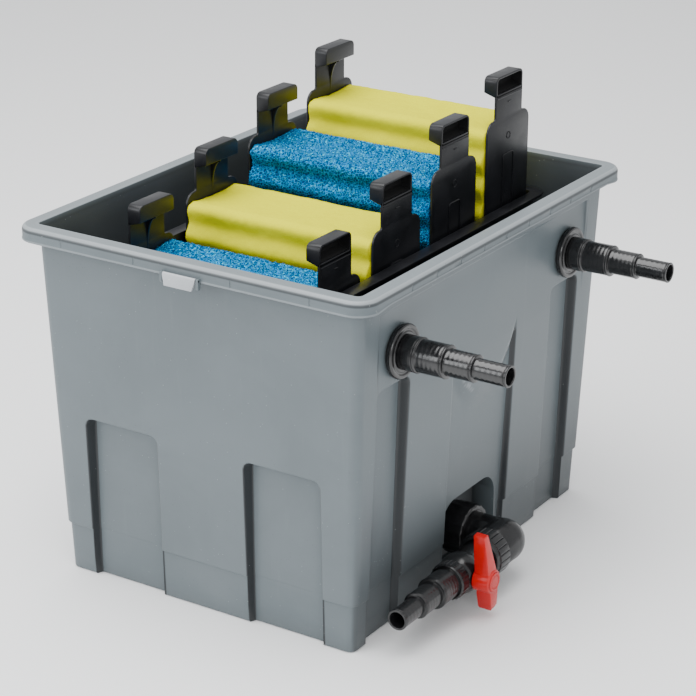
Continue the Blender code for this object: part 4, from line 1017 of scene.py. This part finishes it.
def bead(outline, x, width, height):
    """A low raised line that follows points on the plate's outer face."""
    rings = []
    for i, (u, z) in enumerate(outline):
        before = Vector(outline[max(i - 1, 0)])
        after = Vector(outline[min(i + 1, len(outline) - 1)])
        run = (after - before).normalized()
        side = Vector((-run.y, run.x)) * width / 2
        rings.append([(x - 0.0004, u - side.x, z - side.y), (x + height * 0.7, u - side.x * 0.9, z - side.y * 0.9),
                      (x + height, u, z), (x + height * 0.7, u + side.x * 0.9, z + side.y * 0.9),
                      (x - 0.0004, u + side.x, z + side.y)])
    return skinned("bead", rings)


def arc_points(centre, radius, start, end, steps):
    return [(centre[0] + radius * math.cos(math.radians(start + (end - start) * i / steps)),
             centre[1] + radius * math.sin(math.radians(start + (end - start) * i / steps)))
            for i in range(steps + 1)]


def hollow_shade(mesh):
    """Marks the inside of the block's hollow for painted shade, so that it stays dark."""
    places = np.empty(len(mesh.vertices) * 3, np.float32)
    mesh.vertices.foreach_get("co", places)
    x, y, z = places.reshape(-1, 3).T
    inside = (np.abs(y) < NECK_HALF - 0.0020) & (z > -BLOCK_H + 0.0020) & (z < -0.0020)
    inside &= (x > BLOCK_IN + 0.0020) & (x < PLATE_OUT - 0.0007)
    layer = mesh.attributes.new("hollow", "FLOAT", "POINT")
    layer.data.foreach_set("value", inside.astype(np.float32))
    return mesh


def plate_mesh():
    """The right-hand plate at y 0 with its handle's top at z 0."""
    half = plate_half()
    outline = half + [(-u, z) for u, z in half[::-1]]
    slab = bevelled(prism("slab", outline, "x", PLATE_OUT - PLATE_T, PLATE_OUT), 0.0006, 3)
    block = arched(NECK_HALF, -BLOCK_H, 0.0, 0.007, 8)
    hollow = arched(NECK_HALF - 0.0028, -BLOCK_H + 0.003, -0.0028, 0.0045, 8)

    def lifted(ring):
        return [(u, z + (BLOCK_RISE if z < -BLOCK_H / 2 else 0.0)) for u, z in ring]

    stages = [(BLOCK_IN + 0.003, lifted(hollow)), (PLATE_OUT - PLATE_T / 2, hollow), (PLATE_OUT, hollow),
              (PLATE_OUT, block), (BLOCK_IN, lifted(block))]
    rings = [[(x, u, z) for u, z in ring] for x, ring in stages]
    cup = bevelled(skinned("cup", rings), 0.0008, 3)
    rib = [(PLATE_OUT - 0.0015, -BLOCK_H + 0.001), (BLOCK_IN + 0.0015, -BLOCK_H + BLOCK_RISE + 0.0004)]
    for i in range(13):
        turn = math.pi / 2 * i / 12
        rib.append((PLATE_OUT - PLATE_T - 0.0125 * (1 - math.sin(turn)),
                    -BLOCK_H + 0.003 - 0.038 * (1 - math.cos(turn))))
    rib.append((PLATE_OUT - 0.0015, -BLOCK_H + 0.003 - 0.038))
    parts = [slab, cup, bevelled(prism("rib", rib, "y", -0.0015, 0.0015), 0.0004, 2)]
    edge = [(-NECK_HALF + 0.0015, -0.0262), (NECK_HALF - 0.0015, -0.0262)]
    parts.append(bead(edge, PLATE_OUT, 0.0012, 0.0007))
    parts.append(bead([(-0.0035, -0.034), (0.0035, -0.034)], PLATE_OUT, 0.0012, 0.0008))
    parts.append(bead(arc_points((0, -0.076), 0.0042, 0, 352, 24), PLATE_OUT, 0.0008, 0.0006))
    tongue = ([(-0.0125, -0.200)] + arc_points((-0.0085, -0.102), 0.004, 180, 90, 6)
              + arc_points((0.0085, -0.102), 0.004, 90, 0, 6) + [(0.0125, -0.200)])
    parts.append(bead(tongue, PLATE_OUT, 0.0013, 0.0010))
    parts.append(bead(arc_points((0, -0.146), 0.0014, 0, 350, 12), PLATE_OUT, 0.0010, 0.0004))
    parts.append(bead([(-0.0025, -0.2), (0.0025, -0.2)], PLATE_OUT, 0.0008, 0.0003))
    return hollow_shade(joined("plate", parts))


def build_plates():
    right = plate_mesh()
    left = moved(right.copy(), Matrix.Scale(-1, 4, (1, 0, 0)))
    for number in range(1, 5):
        for hand, source in (("right", right), ("left", left)):
            node = f"{hand}_plate_{number}"
            low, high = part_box(node)
            place = Matrix.Translation((0, (low.y + high.y) / 2, high.z))
            mesh = moved(source.copy(), place)
            piece(f"{hand}_handle_plate_{number}", mesh, PLATE_BLACK, f"cartridge_{number}", "black_plastic", node)


# ---- tray and clips -------------------------------------------------------------------------
def build_tray():
    mesh = merged_node("cartridge_tray", 0.0007, 3)
    piece("cartridge_tray_shell", mesh, PLATE_BLACK, "tray_body", "black_plastic", "cartridge_tray")
    kept(PLATE_BLACK, "black_plastic", "support_grid", *[f"foam_base_{i}" for i in range(1, 5)])


def tapered(mesh):
    """Draws a clip's lower end in at both sides."""
    places = np.empty(len(mesh.vertices) * 3, np.float32)
    mesh.vertices.foreach_get("co", places)
    spots = places.reshape(-1, 3)
    top, foot = spots[:, 2].max() - 0.012, spots[:, 2].min()
    share = np.clip((top - spots[:, 2]) / (top - foot), 0, 1)
    spots[:, 0] *= 1 - 0.20 * share
    mesh.vertices.foreach_set("co", spots.ravel())
    mesh.update()
    return mesh


def build_clips():
    for side in ("front", "back"):
        mesh = tapered(merged_node(f"{side}_clip", 0.00045, 3))
        piece(f"{side}_clip_flap", mesh, CLIP_GREY, f"{side}_clip_body", "clip_grey", f"{side}_clip")
    kept(SATIN_BLACK, "black_plastic", "front_clip_pin", "back_clip_pin")


# ---- ribs round nuts ------------------------------------------------------------------------
def rib_tree():
    """Round grip ribs set evenly about a turned nut, standing along its axis."""
    tree = bpy.data.node_groups.new("grip_ribs", "GeometryNodeTree")
    tree.interface.new_socket("Nut", in_out="INPUT", socket_type="NodeSocketGeometry")
    for label, kind in (("Count", "Int"), ("Circle", "Float"), ("Rib Width", "Float"), ("Rib Length", "Float"),
                        ("Start", "Float"), ("Finish", "Material")):
        tree.interface.new_socket(label, in_out="INPUT", socket_type="NodeSocket" + kind)
    tree.interface.new_socket("Nut", in_out="OUTPUT", socket_type="NodeSocketGeometry")
    g = Graph(tree)
    given, made = g.add("NodeGroupInput"), g.add("NodeGroupOutput")
    ring = g.add("GeometryNodeMeshCircle", {"Vertices": given.outputs["Count"], "Radius": given.outputs["Circle"]})
    half = g.math("MULTIPLY", given.outputs["Rib Length"], 0.5)
    lift = g.add("ShaderNodeCombineXYZ", {2: g.math("ADD", given.outputs["Start"], half)})
    raised = g.add("GeometryNodeTransform", {"Geometry": ring.outputs["Mesh"], "Translation": lift.outputs[0]})
    rib = g.add("GeometryNodeMeshCylinder", {"Vertices": 12, "Side Segments": 1, "Radius": given.outputs["Rib Width"],
                                             "Depth": given.outputs["Rib Length"]})
    spread = g.add("GeometryNodeInstanceOnPoints", {"Points": raised.outputs[0], "Instance": rib.outputs["Mesh"]})
    solid = g.add("GeometryNodeRealizeInstances", {0: spread.outputs[0]})
    both = g.add("GeometryNodeJoinGeometry")
    tree.links.new(solid.outputs[0], both.inputs[0])
    tree.links.new(given.outputs["Nut"], both.inputs[0])
    coat = g.add("GeometryNodeSetMaterial", {"Geometry": both.outputs[0], "Material": given.outputs["Finish"]})
    tree.links.new(coat.outputs[0], made.inputs[0])
    return tree


RIBS = rib_tree()


def ribbed(mesh, count, circle, width, length, start, finish):
    out = grown(mesh, RIBS, Count=count, Circle=circle, Rib_Width=width, Rib_Length=length, Start=start,
                Finish=finish)
    out.shade_smooth()
    out.set_sharp_from_angle(angle=math.radians(42))
    return out


# ---- hose fittings --------------------------------------------------------------------------
def tail_profile(steps, bore, collar):
    """Profile of a stepped hose tail: each step has faint ridges, then a groove and a lip ring."""
    outer = [(steps[0][0] * 0.97, 0.0)]
    reach = 0.0
    for i, (radius, length) in enumerate(steps):
        end = reach + length
        slim = radius - 0.0002
        outer.append((slim, reach + 0.0004, 0.0004))
        ridges = 3 if i < collar else 5
        first = end - 0.0075 if i < collar else reach + 0.0030
        pitch = (end - 0.0036 - first) / ridges
        for k in range(ridges):
            outer += [(slim - 0.00010, first + pitch * (k + 0.15), 0.0006),
                      (slim + 0.00004, first + pitch * (k + 0.65), 0.0008)]
        outer += [(slim - 0.0001, end - 0.0034, 0.0003), (slim - 0.0007, end - 0.0031, 0.0003),
                  (slim - 0.0007, end - 0.0024, 0.0003), (radius, end - 0.0021, 0.0006),
                  (radius + 0.0003, end - 0.0010, 0.0006), (radius - 0.0003, end, 0.0006)]
        reach = end
    return outer + [(bore, reach, 0.0010), (bore, reach * 0.35), (0.0140, reach * 0.30), (0.0140, 0.0)], reach


def build_fitting(name, y):
    flange_low, flange_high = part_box(f"{name}_bulkhead")
    back = 0.2136
    place = along((1, 0, 0), (back, y, FITTING_Z))
    profile = [(0.0193, flange_low.x - back), (0.0193, 0.0), (0.0300, 0.0, 0.0008), (0.0310, 0.0012, 0.0010),
               (0.0310, 0.0048, 0.0016), (0.0296, 0.0065, 0.0012), (0.0262, 0.0065, 0.0008), (0.0252, 0.0052, 0.0008),
               (0.0232, 0.0052, 0.0008), (0.0222, 0.0063, 0.0008), (0.0145, 0.0063), (0.0145, flange_low.x - back)]
    mesh = moved(turned("flange", profile, 128), place)
    piece(f"{name}_flange", mesh, GLOSS_BLACK, "tub_body", "black_plastic", f"{name}_bulkhead")
    steps = ((0.0200, 0.0195), (0.0187, 0.0337), (0.0153, 0.0343), (0.0121, 0.0398))
    profile, _ = tail_profile(steps, 0.0094, 1)
    mesh = moved(turned("tail", profile, 112), along((1, 0, 0), (0.2204, y, FITTING_Z)))
    piece(f"{name}_stepped_tail", mesh, GLOSS_BLACK, "tub_body", "black_plastic", f"{name}_hose_tail")
    nut = merged_node(f"{name}_locknut", 0.0006, 2)
    piece(f"{name}_wall_nut", nut, SATIN_BLACK, "tub_body", "black_plastic", f"{name}_locknut")
    kept(RUBBER, "rubber", f"{name}_gasket")


# ---- drain line -----------------------------------------------------------------------------
def collar_shape(radius, height, turn):
    """Scalloped outside of the long collar nut; the bore stays round."""
    if radius < 0.027:
        return radius
    return radius - 0.0009 * (0.5 + 0.5 * math.cos(16 * turn)) ** 0.6


def grip_shape(radius, height, turn):
    """Square grip blocks round the union nut."""
    if radius < 0.0270:
        return radius
    gap = np.clip((abs(math.sin(11 * turn)) - 0.18) / 0.10, 0.0, 1.0)
    return 0.0272 + (radius - 0.0272) * float(gap)


def build_collar():
    profile = [(0.0229, 0.0), (0.0312, 0.0, 0.001), (0.0320, 0.0012, 0.001), (0.0320, 0.0280, 0.0012),
               (0.0306, 0.0300, 0.0010), (0.0262, 0.0300, 0.0006), (0.0254, 0.0292, 0.0006), (0.0229, 0.0292)]
    mesh = moved(turned("collar", profile, 192, collar_shape), along((1, 0, 0), (0.1740, DRAIN_Y, DRAIN.z)))
    piece("drain_scalloped_nut", mesh, SATIN_BLACK, "tub_body", "black_plastic", "drain_collar_nut")
    nut = merged_node("drain_locknut", 0.0006, 2)
    piece("drain_wall_nut", nut, SATIN_BLACK, "tub_body", "black_plastic", "drain_locknut")
    kept(SATIN_BLACK, "black_plastic", "drain_bulkhead")
    kept(RUBBER, "rubber", "drain_gasket", "stem_seal")


def build_elbow():
    """Elbow whose two straight runs meet in a domed corner, with a shoulder before the union nut."""
    corner = Vector((DRAIN.x, DRAIN_Y - 0.0025, DRAIN.z))
    shoulder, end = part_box("valve_union_nut")[1].y + 0.0004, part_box("drain_elbow")[0].y
    neck = moved(rod("neck", [(0.0232, 0.0), (0.0237, 0.0006), (0.0237, corner.x - 0.1743)]),
                 along((1, 0, 0), (0.1743, DRAIN_Y, DRAIN.z)))
    run = moved(rod("run", [(0.0260, 0.0), (0.0260, corner.y - shoulder - 0.0012), (0.0250, corner.y - shoulder),
                            (0.0225, corner.y - shoulder), (0.0225, corner.y - end)]),
                along((0, -1, 0), corner))
    dome = rod("dome", [(0.0264 * math.sin(math.pi * i / 40) + 0.00002, -0.0264 * math.cos(math.pi * i / 40))
                        for i in range(41)], 96)
    mesh = boolean(run, neck, "UNION")
    mesh = boolean(mesh, moved(dome, Matrix.Translation(corner)), "UNION")
    across = moved(rod("across", [(0.0170, 0.0), (0.0170, 0.080)], 72),
                   along((1, 0, 0), (0.1700, DRAIN_Y, DRAIN.z)))
    down = moved(rod("down", [(0.0170, 0.0), (0.0170, 0.060)], 72), along((0, -1, 0), (corner.x, -0.001, corner.z)))
    mesh = boolean(boolean(mesh, across, "DIFFERENCE"), down, "DIFFERENCE")
    mesh.shade_smooth()
    mesh.set_sharp_from_angle(angle=math.radians(40))
    piece("drain_domed_elbow", mesh, SATIN_BLACK, "tub_body", "black_plastic", "drain_elbow")


def down_line(y):
    return along((0, -1, 0), (DRAIN.x, y, DRAIN.z))


def build_valve():
    """Block-grip union nut, bulged body with its stem boss, ribbed tail nut and the stepped tail."""
    low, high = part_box("valve_union_nut")
    length = high.y - low.y
    profile = [(0.0229, 0.0), (0.0262, 0.0, 0.0008), (0.0268, 0.0022, 0.0008), (0.0285, 0.0026, 0.0006),
               (0.0285, length - 0.0060, 0.0006), (0.0268, length - 0.0056, 0.0006), (0.0266, length - 0.0012, 0.0008),
               (0.0252, length, 0.0008), (0.0229, length)]
    mesh = turned("union", profile, 264, grip_shape)
    piece("union_grip_nut", moved(mesh, down_line(high.y)), SATIN_BLACK, "tub_body", "black_plastic",
          "valve_union_nut")
    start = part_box("valve_body")[1].y
    centre = start - DRAIN.y
    profile = [(0.0225, 0.0)]
    for i in range(17):
        turn = math.radians(-27.0 + 61.0 * i / 16)
        profile.append((0.0248 * math.cos(turn), centre + 0.0248 * math.sin(turn), 0.0))
    profile += [(0.0190, start + 0.1160, 0.0008), (0.0190, start + 0.1300), (0.0136, start + 0.1300),
                (0.0136, centre + 0.012), (0.0156, centre), (0.0136, centre - 0.012), (0.0136, 0.0)]
    body = moved(turned("body", profile, 128), down_line(start))
    boss = [(0.0095, 0.0), (0.0095, 0.0236, 0.0008), (0.0074, 0.0248, 0.0006), (0.0074, 0.0222),
            (0.0050, 0.0222), (0.0050, 0.0)]
    boss_mesh = moved(turned("boss", boss, 72), along((1, 0, 0), (DRAIN.x + 0.0005, DRAIN.y, DRAIN.z)))
    piece("valve_bulged_body", joined("body", [body, boss_mesh]), SATIN_BLACK, "tub_body", "black_plastic",
          "valve_body")
    profile = [(0.0194, 0.0), (0.0212, 0.0, 0.0008), (0.0218, 0.0010, 0.0008), (0.0218, 0.0140, 0.0010),
               (0.0208, 0.0165, 0.0010), (0.0194, 0.0165)]
    mesh = ribbed(turned("tail_ring", profile, 112), 26, 0.0213, 0.0011, 0.0128, 0.0014, SATIN_BLACK)
    piece("tail_grip_nut", moved(mesh, down_line(-0.1190)), SATIN_BLACK, "tub_body", "black_plastic", "tail_nut")
    steps = ((0.0190, 0.0052), (0.0187, 0.0322), (0.0153, 0.0343), (0.0121, 0.0398))
    profile, _ = tail_profile(steps, 0.0094, 1)
    mesh = moved(turned("drain_tail", profile, 112), down_line(-0.1303))
    piece("drain_stepped_tail", mesh, SATIN_BLACK, "tub_body", "black_plastic", "drain_hose_tail")
    kept(SEAT_WHITE, "valve_white", "inlet_seat", "outlet_seat", "valve_ball")
    kept(STEM_GREY, "stem_grey", "valve_stem")


def lever_arm(sections):
    """One tapered arm skinned over flat sections in the lever's own frame, then bevelled."""
    rings = []
    for inner, outer, half, height in sections:
        rings.append([(inner, -half, height), (outer, -half, height), (outer, half, height), (inner, half, height)])
    return bevelled(skinned("arm", rings, smooth_angle=20), 0.0008, 4, 24)


def build_lever():
    """Red lever: round hub, long and short arm, and a grooved cap."""
    tilt = Matrix.Translation(DRAIN) @ Matrix.Rotation(LEVER_TILT, 4, "X")
    upper = lever_arm([(0.0265, 0.0430, 0.0090, 0.0), (0.0262, 0.0430, 0.0090, 0.0105), (0.0244, 0.0429, 0.0088, 0.0140),
                       (0.0237, 0.0405, 0.0063, 0.0376), (0.0234, 0.0381, 0.0041, 0.0588),
                       (0.0238, 0.0377, 0.0037, 0.0600)])
    lower = lever_arm([(0.0265, 0.0430, 0.0090, 0.0), (0.0262, 0.0430, 0.0090, -0.0105), (0.0250, 0.0436, 0.0088, -0.0140),
                       (0.0249, 0.0422, 0.0072, -0.0345), (0.0259, 0.0410, 0.0060, -0.0374)])
    hub = turned("hub", [(0.0048, 0.0260), (0.0110, 0.0260), (0.0110, 0.0250), (0.0134, 0.0230), (0.0142, 0.0230, 0.0004),
                         (0.0142, 0.0431, 0.0014), (0.0130, 0.0447, 0.0012), (0.0116, 0.0447, 0.0004),
                         (0.0114, 0.0440, 0.0004), (0.0048, 0.0440)], 112)
    hub = moved(hub, Matrix.Rotation(math.pi / 2, 4, "Y"))
    mesh = joined("lever", [upper, lower, hub])
    piece("drain_lever", moved(mesh, tilt), LEVER_RED, "lever_body", "red_plastic", "valve_handle")
    cap = turned("cap", [(0.0002, 0.0), (0.0112, 0.0, 0.0004), (0.0112, 0.0010, 0.0005), (0.0104, 0.0016, 0.0004),
                         (0.0086, 0.0016, 0.0003), (0.0082, 0.0008, 0.0003), (0.0076, 0.0008, 0.0003),
                         (0.0072, 0.0015, 0.0003), (0.0002, 0.0015)], 96)
    cap = moved(cap, along((1, 0, 0), (DRAIN.x + 0.0442, DRAIN.y, DRAIN.z)))
    piece("lever_cap", cap, LEVER_RED, "lever_body", "red_plastic", "handle_cap")


# ---- surroundings ---------------------------------------------------------------------------
FLOOR = 30.0                             # half width of the floor


def floor_material():
    material, g, shader = new_material("floor_finish", Roughness=0.65)
    place = g.add("ShaderNodeTexCoord").outputs["Object"]
    cloud = g.add("ShaderNodeTexNoise", {"Vector": place, "Scale": 1.5, "Detail": 2.0})
    base = g.mix(cloud.outputs["Fac"], (0.93, 0.932, 0.935, 1.0), (0.95, 0.951, 0.952, 1.0))
    g.tree.links.new(base, shader.inputs["Base Color"])
    return material


def build_floor():
    """A wide flat pale floor, seen from every side."""
    points = [(x, y, -0.0003) for x, y in ((-FLOOR, -FLOOR), (FLOOR, -FLOOR), (FLOOR, FLOOR), (-FLOOR, FLOOR))]
    floor = link("studio_floor", grid_mesh("studio_floor", points, [(0, 1, 2, 3)]), floor_material())


def area_light(name, place, target, size, power, tint=(1.0, 1.0, 1.0)):
    data = bpy.data.lights.new(name, "AREA")
    data.shape = "RECTANGLE"
    data.size, data.size_y = size
    data.energy = power
    data.color = tint
    light = bpy.data.objects.new(name, data)
    light.location = place
    light.rotation_euler = (Vector(target) - Vector(place)).to_track_quat("-Z", "Y").to_euler()
    bpy.context.scene.collection.objects.link(light)


def build_lights():
    world = bpy.data.worlds.new("studio")
    world.use_nodes = True
    back = world.node_tree.nodes["Background"]
    back.inputs["Color"].default_value = (0.97, 0.985, 1.0, 1.0)
    back.inputs["Strength"].default_value = 0.98
    bpy.context.scene.world = world
    area_light("overhead", (-0.3, -0.4, 2.6), (0.0, 0.0, 0.3), (2.4, 2.4), 100.0)
    area_light("front_left", (-1.6, -2.6, 1.5), (0.0, 0.0, 0.25), (1.6, 1.6), 42.0, (0.96, 0.985, 1.0))
    area_light("right_side", (1.7, -1.6, 1.25), (0.25, -0.15, 0.35), (0.8, 0.8), 11.0)


def build_camera():
    """Camera at the angle of the product view, slightly rolled."""
    target = Vector((0.1047, -0.0731, 0.2768))
    azimuth, elevation, roll = math.radians(32.0231), math.radians(21.7813), math.radians(0.5233)
    back = Vector((math.cos(elevation) * math.sin(azimuth), -math.cos(elevation) * math.cos(azimuth),
                   math.sin(elevation)))
    right = (-back).cross(Vector((0, 0, 1))).normalized()
    up = right.cross(-back)
    right_rolled = right * math.cos(roll) + up * math.sin(roll)
    up_rolled = -right * math.sin(roll) + up * math.cos(roll)
    data = bpy.data.cameras.new("camera")
    data.lens = 121.05
    data.sensor_width = 36.0
    data.shift_x, data.shift_y = -0.0363, 0.0065
    data.clip_start, data.clip_end = 0.05, 50.0
    camera = bpy.data.objects.new("camera", data)
    turn = Matrix((right_rolled, up_rolled, back)).transposed().to_4x4()
    camera.matrix_world = Matrix.Translation(target + back * 2.6763) @ turn
    bpy.context.scene.collection.objects.link(camera)
    bpy.context.scene.camera = camera


build_tub()
build_foams()
build_plates()
build_tray()
build_clips()
build_fitting("inlet", FITTING_Y)
build_fitting("outlet", -FITTING_Y)
build_collar()
build_elbow()
build_valve()
build_lever()
build_floor()
build_lights()
build_camera()
